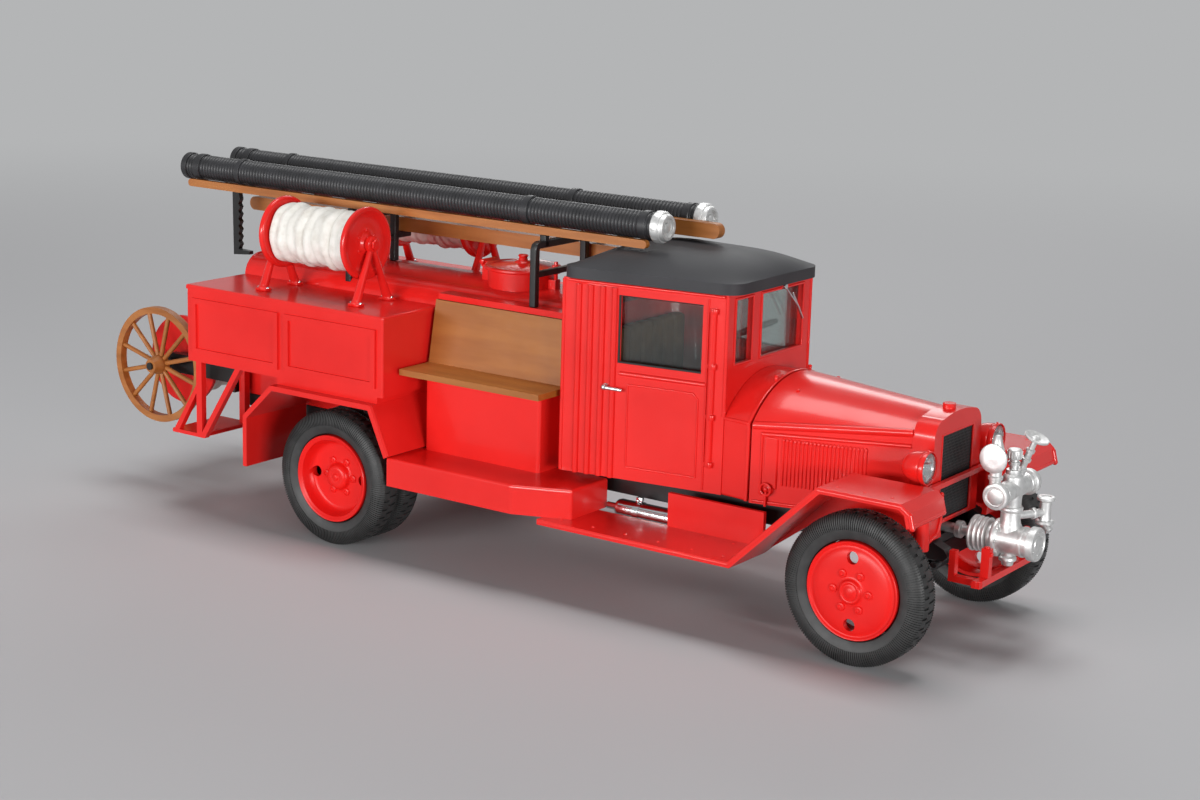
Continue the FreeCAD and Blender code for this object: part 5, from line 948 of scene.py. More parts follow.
def canvas_coil(ends, middle, axis, inner, outer, seed, name, body, node):
    """A pile of hose turns between its two ends, round an axis through middle."""
    piece = turned(middle, axis, coil_outline(ends[0] + 0.1, ends[1] - 0.1, inner, outer, seed),
                   COIL_STEPS)
    along, across = (0, 1) if axis == "X" else (1, 0)
    for point in piece.data.vertices:
        offset = point.co - middle
        angle = math.atan2(offset.z, offset[across])
        radius = math.hypot(offset.z, offset[across])
        if radius < (inner + 0.4) * MM:
            continue
        run = offset[along] / MM
        wave = (0.10 * math.sin(angle * 3 + run * 1.1 + seed)
                + 0.07 * math.sin(angle * 7 - run * 0.7 + seed * 2)) * MM - 0.10 * MM
        push = (radius + wave) / radius
        point.co[across] = middle[across] + offset[across] * push
        point.co.z = middle.z + offset.z * push
        point.co[along] += 0.10 * MM * math.sin(angle * 2 + run + seed)
    dress(outward(piece), name, hose_white, [node], body, angle=75)


for side_name, way in (("right", -1), ("left", 1)):
    low, high = size_of("reel_hose_" + side_name)
    canvas_coil((low.x, high.x), spot(0, way * REEL_Y, REEL_Z), "X", 2.1, 4.86, 1.0 + way,
                "canvas_hose_on_" + side_name + "_reel", side_name + "_reel",
                "reel_hose_" + side_name)
low, high = size_of("cart_hose")
canvas_coil((low.y, high.y), spot(CART_X, 0, CART_Z), "Y", 2.3, 6.15, 3.5, "canvas_hose_on_cart",
            "cart_wheelset", "cart_hose")
print("hose turns on each reel:", RIDGES)

# %% [markdown]
# # Head lamps
# A drum lamp is three turned pieces, one in the other: the painted drum with its rim, a plated
# reflector and a fluted glass. Light that enters through the glass comes back from the reflector,
# so the lamp looks bright although nothing in it glows.

# %% Drum, reflector, bulb and glass
lens_low, lens_high = size_of("headlamp_lenses")
LAMP_X, LAMP_Y, POST_X = 94.2, 10.45, 93.65
LAMP_Z = (lens_low.z + lens_high.z) / 2
LAMP_DRUM = (  # ahead of the rim, radius
    (-3.90, 0.0), (-3.86, 0.55), (-3.66, 1.08), (-3.25, 1.56), (-2.60, 1.92), (-1.80, 2.11),
    (-1.00, 2.17), (-0.92, 2.10), (-0.82, 2.10), (-0.74, 2.17), (-0.60, 2.19), (-0.54, 2.29),
    (-0.12, 2.31), (0.0, 2.25), (0.02, 2.14), (-0.10, 2.07), (-0.60, 2.05), (-0.80, 1.95),
    (-1.60, 1.75), (-2.60, 1.25), (-3.00, 0.60), (-3.05, 0.0),
)
REFLECTOR = (
    (-2.70, 0.0), (-2.62, 0.45), (-2.30, 0.95), (-1.70, 1.45), (-0.95, 1.84), (-0.50, 2.02),
    (-0.44, 2.03), (-0.52, 1.93), (-1.00, 1.74), (-1.70, 1.34), (-2.24, 0.85), (-2.50, 0.40),
    (-2.56, 0.0),
)
LAMP_GLASS = (
    (0.30, 0.0), (0.27, 0.60), (0.18, 1.15), (0.04, 1.65), (-0.12, 1.98), (-0.34, 2.03),
    (-0.36, 1.88), (-0.16, 1.58), (-0.02, 1.10), (0.07, 0.58), (0.10, 0.0),
)


def lamp_rod(ahead_low, ahead_high, rise_low, rise_high, radius, sides, edge=0.0):
    """A rod in the right lamp's middle plane, by places ahead of and above the lamp."""
    return rod((LAMP_X + ahead_low, -LAMP_Y, LAMP_Z + rise_low),
               (LAMP_X + ahead_high, -LAMP_Y, LAMP_Z + rise_high), radius, sides, edge)


place = spot(LAMP_X, -LAMP_Y, LAMP_Z)
drum = turned(place, "X", LAMP_DRUM)
post = rod((POST_X, -LAMP_Y, 23.3), (POST_X, -LAMP_Y, LAMP_Z - 2.05), 0.42)
post_nut = rod((POST_X, -LAMP_Y, 23.25), (POST_X, -LAMP_Y, 23.75), 0.68, 6, 0.06)
rim_screw = lamp_rod(-0.35, -0.35, 2.2, 2.45, 0.16, 10, 0.03)
glass = turned(place, "X", LAMP_GLASS)
reflector = turned(place, "X", REFLECTOR)
bulb = ball((LAMP_X - 1.55, -LAMP_Y, LAMP_Z), 0.34, (1.25, 1, 1), 8)
bulb_cap = lamp_rod(-2.6, -1.85, 0, 0, 0.26, 14)
for pieces, name, finish, node in (
        ([drum, post, post_nut, rim_screw], "lamp_drums", red_enamel, "headlamp_bowls"),
        ([glass], "fluted_lamp_glasses", lamp_glass, "headlamp_lenses"),
        ([reflector], "lamp_reflectors", plated, "headlamp_bowls"),
        ([bulb], "lamp_bulbs", bulb_glass, "headlamp_bowls"),
        ([bulb_cap], "bulb_sockets", plated, "headlamp_bowls")):
    dress(both(*pieces), name, finish, [node])
print("lamps at", LAMP_X, LAMP_Y, LAMP_Z)

# %% [markdown]
# # Radiator
# The core shows as a fine black mesh behind the shell's opening. One wire is repeated across and
# one upwards by arrays. Behind them stands a plain dark block.
# The badge's place on the shell stays bare.

# %% Radiator mesh
low, high = size_of("radiator_core")
WIRE, WIRE_PITCH = 0.11, 0.42
wide, tall = high.y - low.y, high.z - low.z
uprights, levels = int(wide / WIRE_PITCH), int(tall / WIRE_PITCH)
upright_wire = rod((high.x + 0.02, low.y + WIRE_PITCH / 2, low.z),
                   (high.x + 0.02, low.y + WIRE_PITCH / 2, high.z), WIRE, 6)
level_wire = rod((high.x, low.y, low.z + WIRE_PITCH / 2),
                 (high.x, high.y, low.z + WIRE_PITCH / 2), WIRE * 0.8, 6)
repeated(upright_wire, uprights, (0, wide / uprights, 0))
repeated(level_wire, levels, (0, 0, tall / levels))
dress(together(upright_wire, level_wire), "radiator_mesh", black_styrene, ["radiator_core"])
dress(block(low, (high.x - 0.25, high.y, high.z), 0.05), "radiator_core_block", dark_styrene,
      ["radiator_core"])
print("wires in the mesh:", uprights + levels)

# %% [markdown]
# # Roof
# The cab roof is a soft pillow: tallest in the middle, falling away to a thick lip all round. A
# grid is laid over the cab's plan, closer together near its border, and each point is lifted by a
# formula. Its border is then pushed down to make the lip, and the lip's edge is rounded. The
# corners are round in plan too, as padded cloth can't hold a sharp one.

# %% Pillow roof
CAB_REAR_X, CAB_FRONT_X = 37.5, 62.8
CAB_REAR_HALF, CAB_FRONT_HALF = 15.0, 11.4
ROOF_LIP, ROOF_EAVES, ROOF_CORNER = 1.6, 0.45, 2.6
ROOF_SIDE_ROUND, ROOF_END_ROUND = 2.4, 5.0


def between(x, first_x, last_x, first, last):
    """A length that changes evenly from first to last between two places along the model."""
    return first + (x - first_x) / (last_x - first_x) * (last - first)


def cab_side(x):
    """Half the cab's width at a place along it."""
    return between(x, CAB_REAR_X, CAB_FRONT_X, CAB_REAR_HALF, CAB_FRONT_HALF)


low, high = size_of("cab_roof")
roof_middle, roof_reach = (low.x + high.x) / 2, (high.x - low.x) / 2
rim_z = low.z + ROOF_LIP
start()
bpy.ops.mesh.primitive_grid_add(x_subdivisions=36, y_subdivisions=28, size=2,
                                location=(0, 0, 0))
roof = bpy.context.object
for point in roof.data.vertices:
    along = math.sin(point.co.x * math.pi / 2)
    across = math.sin(point.co.y * math.pi / 2)
    x = roof_middle + roof_reach * along
    into_corner = max(0, ROOF_CORNER - roof_reach * (1 - abs(along)))
    half = (cab_side(x) + ROOF_EAVES - ROOF_CORNER
            + math.sqrt(max(0, ROOF_CORNER ** 2 - into_corner ** 2)))
    bulge = (1 - abs(across) ** ROOF_SIDE_ROUND) * (1 - abs(along) ** ROOF_END_ROUND)
    point.co = spot(x, half * across, rim_z + (high.z - rim_z) * bulge)
edit(roof, "EDGE", False)
bpy.ops.mesh.select_non_manifold()
bpy.ops.mesh.extrude_region_move(TRANSFORM_OT_translate={"value": (0, 0, -ROOF_LIP * MM)})
bpy.ops.mesh.edge_face_add()
soften(outward(roof), 0.5, 5, angle=50)
dress(roof, "padded_cab_roof", roof_grey, ["cab_roof"], angle=50)
print("roof faces:", len(roof.data.polygons))

# %% [markdown]
# # Cowl
# On the model the cowl is a short barrel with the bonnet's own section, set against the cab's flat
# front wall, so the wall shows as a narrow step above it. A copy of the cab's shell is cut off at
# that wall and closed. The barrel is drawn as one section, pushed back to the wall, where it is
# pulled in to the cab's width. A raised bead runs round the edge next to the bonnet.

# %% Cab body with its barrel cowl
COWL_FRONT_X, COWL_HALF, COWL_SHOULDER, COWL_CROWN = 67.4, 11.9, 28.2, 33.7
COWL_ARC_STEPS = 28


def hood_outline(low, proud):
    """The cowl's section from low up: upright sides and a crowned top, a bead's width proud."""
    half, crown = COWL_HALF + proud, COWL_CROWN + proud * 1.2
    rise = crown - COWL_SHOULDER
    round_radius = (half * half + rise * rise) / (2 * rise)
    reach = math.asin(half / round_radius)
    angles = [reach * (1 - 2 * step / COWL_ARC_STEPS) for step in range(COWL_ARC_STEPS + 1)]
    arc = [(round_radius * math.sin(angle), crown - round_radius * (1 - math.cos(angle)))
           for angle in angles]
    return [spot(COWL_FRONT_X, y, z) for y, z in [(-half, low), (half, low)] + arc]


wall_x = spot(CAB_FRONT_X + 0.02, 0, 0).x
cab_low = size_of("cab_shell")[0].z
cab_body = copy_of(frame["nodes"]["cab_shell"])
edit(cab_body)
bpy.ops.mesh.remove_doubles(threshold=WELD)
bpy.ops.mesh.bisect(plane_co=(wall_x, 0, 0), plane_no=(1, 0, 0), clear_outer=True,
                    use_fill=True, threshold=0.000001)
barrel = plate(hood_outline(cab_low, 0.0), (CAB_FRONT_X - 0.1 - COWL_FRONT_X, 0, 0))
pick(barrel, "vertices", lambda point: point.co.x < wall_x)
bpy.ops.transform.resize(value=(1, CAB_FRONT_HALF / COWL_HALF, 1),
                         center_override=spot(CAB_FRONT_X, 0, 0))
soften(barrel, 0.35, 4)
cowl_bead = soften(plate(hood_outline(cab_low, 0.1), (-0.55, 0, 0)), 0.12)
dress(together(cab_body, barrel, cowl_bead), "cab_body_with_cowl", red_enamel, ["cab_shell"],
      angle=22)
print("cab body:", len(cab_body.data.polygons), "faces")

# %% [markdown]
# # Cab trim
# The doors are cast shut, so beads and lines are all that shows them: a round moulding below the
# glass, a thin frame round the pressed panel, a drip rail under the roof and the hinge knuckles
# on the front pillar. Each bead is a rod that follows the slanted side.

# %% Door beads
DOOR_PANEL = [(48.0, 19.0), (48.0, 31.0), (58.0, 31.0), (58.8, 30.2), (58.8, 19.0)]


def on_cab(x, z, proud=0.0):
    """A place on the cab's right side, or proud of it."""
    return x, -cab_side(x) - proud, z


def side_bead(first, last, radius, proud=0.0):
    """A round bead on the cab's right side between two (x, z) places."""
    return rod(on_cab(*first, proud), on_cab(*last, proud), radius, 12, 0.05)


def bead_frame(corners, radius, proud=0.0):
    """A closed frame of beads through (x, z) corners, with a ball in each corner."""
    return cord_along([on_cab(x, z, proud) for x, z in corners], radius, closed=True, edge=0.05)


dress(both(side_bead((46.7, 32.5), (59.9, 32.5), 0.34), bead_frame(DOOR_PANEL, 0.15),
           side_bead((59.95, 17.4), (59.95, 44.6), 0.16),
           side_bead((38.4, 45.1), (62.4, 45.1), 0.22, 0.1)), "door_beads", red_enamel)
print("corners of the door panel:", len(DOOR_PANEL))

# %% [markdown]
# Behind the door the side is pressed into four upright ribs. The corners of a casting are never
# sharp, so slim rods in them and along the cowl's shoulder give the round edge that catches light.

# %% Hinges, ribs and corner beads
HINGE_X, HINGE_Y = 61.1, -cab_side(61.1) - 0.25
UPRIGHTS = [(40.0 + 1.87 * count, 17.15, 44.7, 0.46, 0.12) for count in range(4)]
UPRIGHTS.append((60.7, 20.9, 43.1, 0.54, 0.15))  # the strip behind the hinges
CORNERS = ((CAB_REAR_X + 0.1, CAB_REAR_HALF, 17.2), (CAB_FRONT_X - 0.1, CAB_FRONT_HALF, 28.3))
knuckles = []
for z in (43.0, 35.2, 28.0, 21.2):
    knuckles.append(rod((HINGE_X, HINGE_Y, z - 0.42), (HINGE_X, HINGE_Y, z + 0.42), 0.42, 12, 0.12))
    knuckles.append(block((60.0, HINGE_Y - 0.05, z - 0.3), (HINGE_X, HINGE_Y + 0.3, z + 0.3), 0.08))
dress(both(*knuckles), "door_hinges", red_enamel)
strips = [rod(on_cab(x, low), on_cab(x, high), radius, 28, edge)
          for x, low, high, radius, edge in UPRIGHTS]
strips += [rod((x, 0.08 - half, low), (x, 0.08 - half, 45.2), 0.28, 24) for x, half, low in CORNERS]
strips.append(rod((62.9, 0.1 - CAB_FRONT_HALF, 28.15), (67.0, 0.1 - COWL_HALF, 28.15), 0.26, 20))
dress(both(*strips), "cab_ribs_and_corner_beads", red_enamel, angle=50)
print("upright strips on each side:", len(strips))

# %% [markdown]
# The side glass lies in a dark seal, set back from the skin. The two panes of the screen have
# thin red frames of their own.

# %% Window frames
GLASS_FRAME = [(46.2, 34.0), (46.2, 43.7), (59.1, 43.7), (59.1, 34.0)]
SCREEN_PANES = (((-9.4, 35.3), (-4.7, 44.6)), ((-2.5, 35.3), (9.2, 44.6)))


def pane_frame(x, low, high, radius):
    """A closed frame across the model at x, through two opposite (y, z) corners."""
    corners = [low, (low[0], high[1]), high, (high[0], low[1])]
    return cord_along([(x, y, z) for y, z in corners], radius, closed=True)


dress(both(bead_frame(GLASS_FRAME, 0.2, -0.35)), "side_window_seals", dark_styrene)
dress(together(*[pane_frame(CAB_FRONT_X, *pane, 0.2) for pane in SCREEN_PANES]),
      "windscreen_frames", red_enamel)
print("panes in the windscreen:", len(SCREEN_PANES))

# %% [markdown]
# The wiper hangs from the top of the screen: a small drive knob, a flat arm and a slim blade.
# Behind the screen are three dials, and levers and pedals stand on the floor.

# %% Wiper, dials, levers and pedals
BLADE_ENDS = ((63.3, 5.2, 43.6), (63.3, 8.3, 39.6))
DIAL_Z = 32.3
DIAL_RIM = ((0.05, 0.8), (-0.25, 0.86), (-0.32, 1), (0.05, 1), (0.05, 0.8))
DIAL_FACE = ((0.05, 0), (-0.12, 0), (-0.12, 0.84), (0.05, 0.84))
dress(together(rod((62.7, 2.9, 44.9), (63.6, 2.9, 44.9), 0.42, edge=0.1),
               rod((63.3, 2.9, 44.9), (63.35, 7.2, 41.2), 0.13, 8), rod(*BLADE_ENDS, 0.17, 8),
               *[ball(place, 0.17, rings=5) for place in BLADE_ENDS]),
      "windscreen_wiper", plated)

dash_x = size_of("dashboard")[0].x
for shape, name, finish in ((DIAL_RIM, "dial_rims", plated), (DIAL_FACE, "dials", bulb_glass)):
    dress(together(*[turned(spot(dash_x, y, DIAL_Z), "X",
                            [(along, radius * share) for along, share in shape], 24)
                     for y, radius in ((5.4, 1.15), (2.6, 0.75), (8.2, 0.75))]),
          name, finish)

controls = [
    rod((58.5, 0.6, 18.3), (57.6, 0.6, 26.4), 0.24, 10, tip=0.18),
    ball((57.5, 0.6, 26.8), 0.55, rings=8),
    rod((58.5, 0.6, 18.1), (58.4, 0.6, 19.0), 0.75, edge=0.1),
    rod((57.2, -1.6, 18.1), (55.8, -1.6, 27.4), 0.2, 10),
    rod((55.9, -1.6, 26.8), (55.65, -1.6, 28.6), 0.32, 12, 0.08),
]
for y in (3.4, 5.8, 8.0):
    controls.append(block((60.6, y - 0.7, 20.4), (60.9, y + 0.7, 21.6)))
    controls.append(rod((60.8, y, 20.6), (61.5, y, 18.3), 0.2, 8))
dress(together(*controls), "levers_and_pedals", dark_styrene)
print("pieces of the controls:", len(controls))

# %% [markdown]
# The seat is moulded as two upholstered cushions with pleats. One rounded roll is copied sideways
# for the cushion and one for the back.

# %% Pleated seat
low, high = size_of("cab_seat")
ROLLS = 8
roll_width = (high.y - low.y) / ROLLS
cushion = block((low.x + 1.0, low.y, 24.0), (high.x, low.y + roll_width, 26.5), 0.7, 4)
back = block((low.x, low.y, 26.2), (low.x + 2.2, low.y + roll_width, high.z), 0.7, 4)
repeated(cushion, ROLLS, (0, roll_width, 0))
repeated(back, ROLLS, (0, roll_width, 0))
seat_box = block((low.x, low.y + 0.3, low.z), (high.x - 0.4, high.y - 0.3, 24.6), 0.3)
dress(together(cushion, back, seat_box), "pleated_seat", seat_styrene, ["cab_seat"])
print("seat rolls:", ROLLS * 2)

# %% [markdown]
# # Bonnet
# The bonnet's side is a pressing: a hinge line along the shoulder, a raised edge below it, a flat
# post by the cowl and a row of louvres whose upper ends are drawn to a round. A sprung ring holds
# it to the frame.

# %% Hinge line, panel and louvre ends
LOUVRES, LOUVRE_FIRST_X, LOUVRE_LAST_X = 22, 72.2, 83.6
LOUVRE_LOW, LOUVRE_HIGH = 20.2, 26.4


def on_bonnet(x, z, proud=0.0):
    """A place on the bonnet's right side, or proud of it."""
    return x, -between(x, 67.7, 89.8, 11.9, 6.9) - proud, z


def bonnet_bead(first, last, radius, proud=0.0):
    """A bead on the bonnet's right side between two (x, z) places."""
    return rod(on_bonnet(*first, proud), on_bonnet(*last, proud), radius, 12, 0.06)


pressings = [
    bonnet_bead((67.9, 28.05), (89.7, 29.6), 0.6, -0.15),
    bonnet_bead((69.2, 27.0), (89.6, 27.8), 0.32),
    bonnet_bead((69.2, 18.4), (69.2, 27.1), 0.2),
    bonnet_bead((68.1, 17.4), (86.0, 17.4), 0.2),
    ball(on_bonnet(69.2, 27.1), 0.22, rings=6),
    soften(plate([spot(*on_bonnet(x, z, -0.2))
                  for x, z in ((69.8, 19.4), (71.6, 19.4), (71.6, 26.7), (69.8, 26.7))],
                 (-0.09, -0.45, 0)), 0.18, 3),
]
for number in range(LOUVRES):
    x = between(number, 0, LOUVRES - 1, LOUVRE_FIRST_X, LOUVRE_LAST_X)
    pressings.append(ball(on_bonnet(x, LOUVRE_HIGH), 0.27, (1, 1, 1.5), 5))
    pressings.append(ball(on_bonnet(x, LOUVRE_LOW), 0.22, (1, 1, 1.1), 4))
dress(both(*pressings), "bonnet_side_pressings", red_enamel)
print("louvre ends on each side:", LOUVRES * 2)

# %% Catches, studs and the radiator's mouth
CATCH_X = 70.2
catch_y = on_bonnet(CATCH_X, 0, 0.45)[1]
start()
bpy.ops.mesh.primitive_torus_add(major_segments=28, minor_segments=10, major_radius=0.82 * MM,
                                 minor_radius=0.17 * MM, location=spot(CATCH_X, catch_y, 19.3),
                                 rotation=(math.pi / 2, 0, 0))
dress(both(settle(bpy.context.object),
           ball((CATCH_X, catch_y, 19.3), 0.36, (1, 0.7, 1), 6),
           rod((CATCH_X, catch_y, 19.0), (CATCH_X, catch_y + 0.1, 16.9), 0.2, 10),
           block((CATCH_X - 0.5, catch_y + 0.1, 19.0), (CATCH_X + 0.5, catch_y + 0.6, 19.7), 0.08)),
      "bonnet_catches", red_enamel)
studs = []
for x, y, z in ((71.1, -5.7, 32.05), (67.0, -4.7, 33.3)):
    studs.append(rod((x, y, z - 0.4), (x, y, z + 0.25), 0.24, 12, 0.06))
    studs.append(ball((x, y, z + 0.3), 0.3, (1, 1, 0.7), 6))
dress(both(*studs), "bonnet_studs", red_enamel)
dress(pane_frame(92.95, (-4.7, 17.4), (4.7, 29.4), 0.16), "radiator_mouth_edge", red_enamel)
print("catches, studs and mouth edge made")

# %% [markdown]
# # Front pump
# The pump hangs ahead of the radiator and is driven from the crankshaft. A gear cover with cooling
# ribs, the casing with a bolted flange, a column, a cross with an outlet on each side and three
# valves are all turned pieces, each with the collars and rims that a casting has.

# %% Casing, gear cover and shaft
PUMP_Z, COLUMN_X, CROSS_Z = 15.6, 101.4, 22.6
GEAR_COVER = (
    (95.9, 0.0), (95.9, 1.6), (96.0, 1.9), (96.15, 2.2), (96.3, 2.48), (96.5, 2.5),
    (96.62, 2.36), (96.7, 2.2), (96.85, 2.2), (96.95, 2.4), (97.15, 2.44), (97.3, 2.3),
    (97.38, 2.16), (97.55, 2.16), (97.65, 2.34), (97.85, 2.4), (98.0, 2.26), (98.08, 2.12),
    (98.2, 2.12), (98.3, 2.36), (98.5, 2.42), (98.62, 2.3), (98.7, 1.7), (98.95, 1.52),
    (99.5, 1.5), (99.6, 1.5), (99.6, 0.0),
)
CASING = (
    (99.5, 0.0), (99.5, 2.52), (99.62, 2.62), (100.15, 2.62), (100.28, 2.52), (100.34, 2.16),
    (100.6, 2.06), (102.8, 2.02), (103.4, 2.0), (103.5, 2.12), (103.8, 2.12), (103.9, 2.0),
    (104.5, 2.0), (104.6, 2.22), (104.7, 2.36), (105.55, 2.36), (105.72, 2.26), (105.76, 1.98),
    (105.62, 1.86), (105.6, 1.2), (105.72, 1.1), (105.76, 0.55), (105.8, 0.0),
)
SHAFT_DISC = ((-0.5, 0.0), (-0.5, 1.1), (-0.4, 1.2), (0.3, 1.2), (0.4, 1.1), (0.45, 0.0))


def bolts(centre, axis, circle, count, size, facing=1):
    """Hexagon heads on a circle round a place of the drawing, facing along an axis or back."""
    way, out = AXES[axis]
    at = Vector(centre) + out * circle
    head = rod(at - way * 0.1 * facing, at + way * size * 0.8 * facing, size, 6, size * 0.12)
    return together(*round_copies(head, spot(*centre), axis, count))


shaft_line = spot(0, 0, PUMP_Z)
pump = [
    turned(shaft_line, "X", GEAR_COVER, 40),
    turned(shaft_line, "X", CASING, 40),
    bolts((100.3, 0, PUMP_Z), "X", 2.34, 8, 0.22),
    bolts((105.6, 0, PUMP_Z), "X", 1.55, 6, 0.17),
    rod((89.7, 0, PUMP_Z), (96.2, 0, PUMP_Z), 0.7, 20),
    turned(spot(94.2, 0, PUMP_Z), "X", SHAFT_DISC, 24),
]
print("pieces along the shaft:", len(pump))

# %% Column, cross and drain
COLUMN = (  # up from the casing's middle line, radius
    (0.0, 0.0), (0.0, 1.7), (1.9, 1.66), (2.3, 1.46), (2.8, 1.36), (3.9, 1.34), (4.0, 1.55),
    (4.15, 1.62), (4.5, 1.62), (4.65, 1.52), (4.7, 1.34), (5.6, 1.34), (6.4, 1.42),
    (8.6, 1.44), (8.9, 1.3), (9.15, 1.0), (9.3, 0.6), (9.32, 0.0),
)
CROSS = (  # out to one side, radius
    (0.0, 0.0), (0.0, 1.4), (2.6, 1.38), (3.6, 1.34), (3.75, 1.5), (3.9, 1.52), (4.05, 1.4),
    (4.35, 1.4), (4.45, 1.7), (4.6, 1.8), (5.35, 1.8), (5.5, 1.7), (5.52, 1.42), (5.36, 1.32),
    (5.34, 1.14), (5.48, 1.05), (5.55, 0.8), (5.58, 0.0),
)
DRAIN = (  # down from the casing's middle line, radius
    (0.0, 0.0), (0.0, 0.95), (-2.2, 0.93), (-2.4, 1.12), (-2.5, 1.2), (-2.85, 1.2),
    (-2.95, 1.1), (-3.0, 0.85), (-3.4, 0.8), (-3.6, 0.72), (-3.68, 0.5), (-3.7, 0.0),
)
column_foot = spot(COLUMN_X, 0, PUMP_Z)
right_arm = turned(spot(COLUMN_X, 0, CROSS_Z), "Y", [(-out, radius) for out, radius in CROSS], 36)
pump += [
    turned(column_foot, "Z", COLUMN, 36),
    right_arm,
    copy_of(right_arm, mirror=True),
    bolts((COLUMN_X, -4.5, CROSS_Z), "Y", 1.58, 6, 0.14, facing=-1),
    turned(column_foot, "Z", DRAIN, 28),
]
pump_body = dress(together(*pump), "bolted_pump_body", bright_lacquer, ["pump_body"])
print("pump faces:", len(pump_body.data.polygons))

# %% [markdown]
# Above the cross stand the valves: a gland with a ribbed cap in the middle, a tapered one with a
# round plate on the right, and a slanted stem with a dished hand wheel. The vacuum pot stands on
# the left on an elbow.

# %% Gland, near valve and hand wheel
NEAR_X, NEAR_Y, PLATE_Z = 100.3, 3.2, 27.4
GLAND = (
    (24.7, 0.0), (24.7, 1.0), (24.95, 1.05), (25.3, 1.0), (25.35, 0.62), (25.9, 0.6),
    (25.95, 0.78), (26.4, 0.8), (26.45, 0.62), (26.7, 0.6), (26.75, 0.9), (26.9, 0.98),
    (27.9, 0.98), (28.1, 0.85), (28.2, 0.55), (28.2, 0.0),
)
NEAR_VALVE = (
    (22.6, 0.0), (22.6, 0.8), (24.3, 0.8), (24.4, 0.98), (24.8, 1.0), (24.9, 0.8), (27.9, 0.78),
    (28.1, 0.95), (28.3, 1.0), (28.6, 0.9), (29.6, 0.62), (30.2, 0.45), (30.4, 0.25),
    (30.42, 0.0),
)
ROUND_PLATE = (
    (-0.5, 0.0), (-0.5, 1.5), (-0.72, 1.7), (-0.9, 1.94), (-1.05, 2.0), (-1.2, 1.96),
    (-1.27, 1.84), (-1.26, 1.2), (-1.3, 0.3), (-1.3, 0.0),
)
HAND_STEM = (
    (0.0, 0.0), (0.0, 0.72), (0.9, 0.7), (1.0, 0.5), (1.9, 0.48), (2.0, 0.66), (2.4, 0.68),
    (2.5, 0.5), (3.3, 0.46), (3.4, 0.62), (3.8, 0.62), (3.9, 0.42), (5.3, 0.36), (5.35, 0.0),
)
HAND_DISH = (
    (5.2, 0.0), (5.2, 0.55), (5.28, 1.1), (5.42, 1.6), (5.56, 1.76), (5.72, 1.78), (5.82, 1.7),
    (5.8, 1.52), (5.66, 1.1), (5.6, 0.6), (5.72, 0.45), (5.9, 0.3), (5.92, 0.0),
)
gland_rib = rod((COLUMN_X + 0.96, 0, 26.95), (COLUMN_X + 0.96, 0, 27.85), 0.1, 6)
hand_place = spot(COLUMN_X, 1.9, 24.4)
hand_wheel = together(turned(hand_place, "Z", HAND_STEM, 24),
                      turned(hand_place, "Z", HAND_DISH, 36))
valves = [
    turned(spot(COLUMN_X, 0, 0), "Z", GLAND, 32),
    *round_copies(gland_rib, spot(COLUMN_X, 0, 0), "Z", 16),
    turned(spot(NEAR_X, -NEAR_Y, 0), "Z", NEAR_VALVE, 28),
    turned(spot(NEAR_X, -NEAR_Y, PLATE_Z), "Y", ROUND_PLATE, 40),
    lean(hand_wheel, hand_place, "Y", 22),
]
print("pieces of the valves:", len(valves))

# %% Vacuum pot and its pipe
POT_X, POT_Y, POT_PIPE_Z = 104.2, 5.0, 18.8
POT = (
    (17.2, 0.0), (17.2, 1.15), (17.3, 1.25), (17.6, 1.25), (17.7, 1.15), (17.75, 0.86),
    (18.2, 0.78), (19.0, 0.76), (20.3, 0.8), (20.45, 1.1), (20.6, 1.24), (20.9, 1.24),
    (21.0, 1.1), (21.0, 0.7), (20.85, 0.6), (20.85, 0.0),
)
valves += [
    turned(spot(POT_X, POT_Y, 0), "Z", POT, 32),
    rod((COLUMN_X, 0, POT_PIPE_Z), (POT_X, POT_Y, POT_PIPE_Z), 0.55, 20),
    rod((103.1, 3.03, POT_PIPE_Z), (103.4, 3.57, POT_PIPE_Z), 0.82, 6, 0.06),
    ball((POT_X, POT_Y, 17.3), 0.75, (1, 1, 0.9), 8),
    rod((POT_X, POT_Y, 17.2), (POT_X + 0.9, POT_Y - 0.3, 16.3), 0.55, edge=0.1),
]
valve_gear = dress(together(*valves), "valves_and_hand_wheel", bright_lacquer, ["pump_valves"])
print("valve faces:", len(valve_gear.data.polygons))

# %% [markdown]
# The red carrier under the pump ends in rounded lugs and carries each side on a post with a bolt.

# %% Carrier lugs and bolts
CARRIER_X, LUG_Y, POST_Y = 101.2, 8.5, 6.2
dress(both(rod((CARRIER_X, -LUG_Y, 10.8), (CARRIER_X, -LUG_Y, 11.85), 0.72, 20, 0.12),
           rod((CARRIER_X, -POST_Y, 15.6), (CARRIER_X, -POST_Y, 15.95), 0.42, 6, 0.06),
           rod((CARRIER_X + 0.5, -POST_Y, 14.9), (CARRIER_X + 0.85, -POST_Y, 14.9), 0.34, 6, 0.05)),
      "carrier_lugs", red_enamel)
print("carrier lugs and bolts made")

# %% [markdown]
# # Hose reels
# A reel is one turned part: a pin, a boss, a thin dished disc with a thick rolled rim, the core
# and the same again mirrored. Drawn as one outline and spun, all its faces run true. The rim
# catches a bright line of light all the way round, which is what makes it look thick.

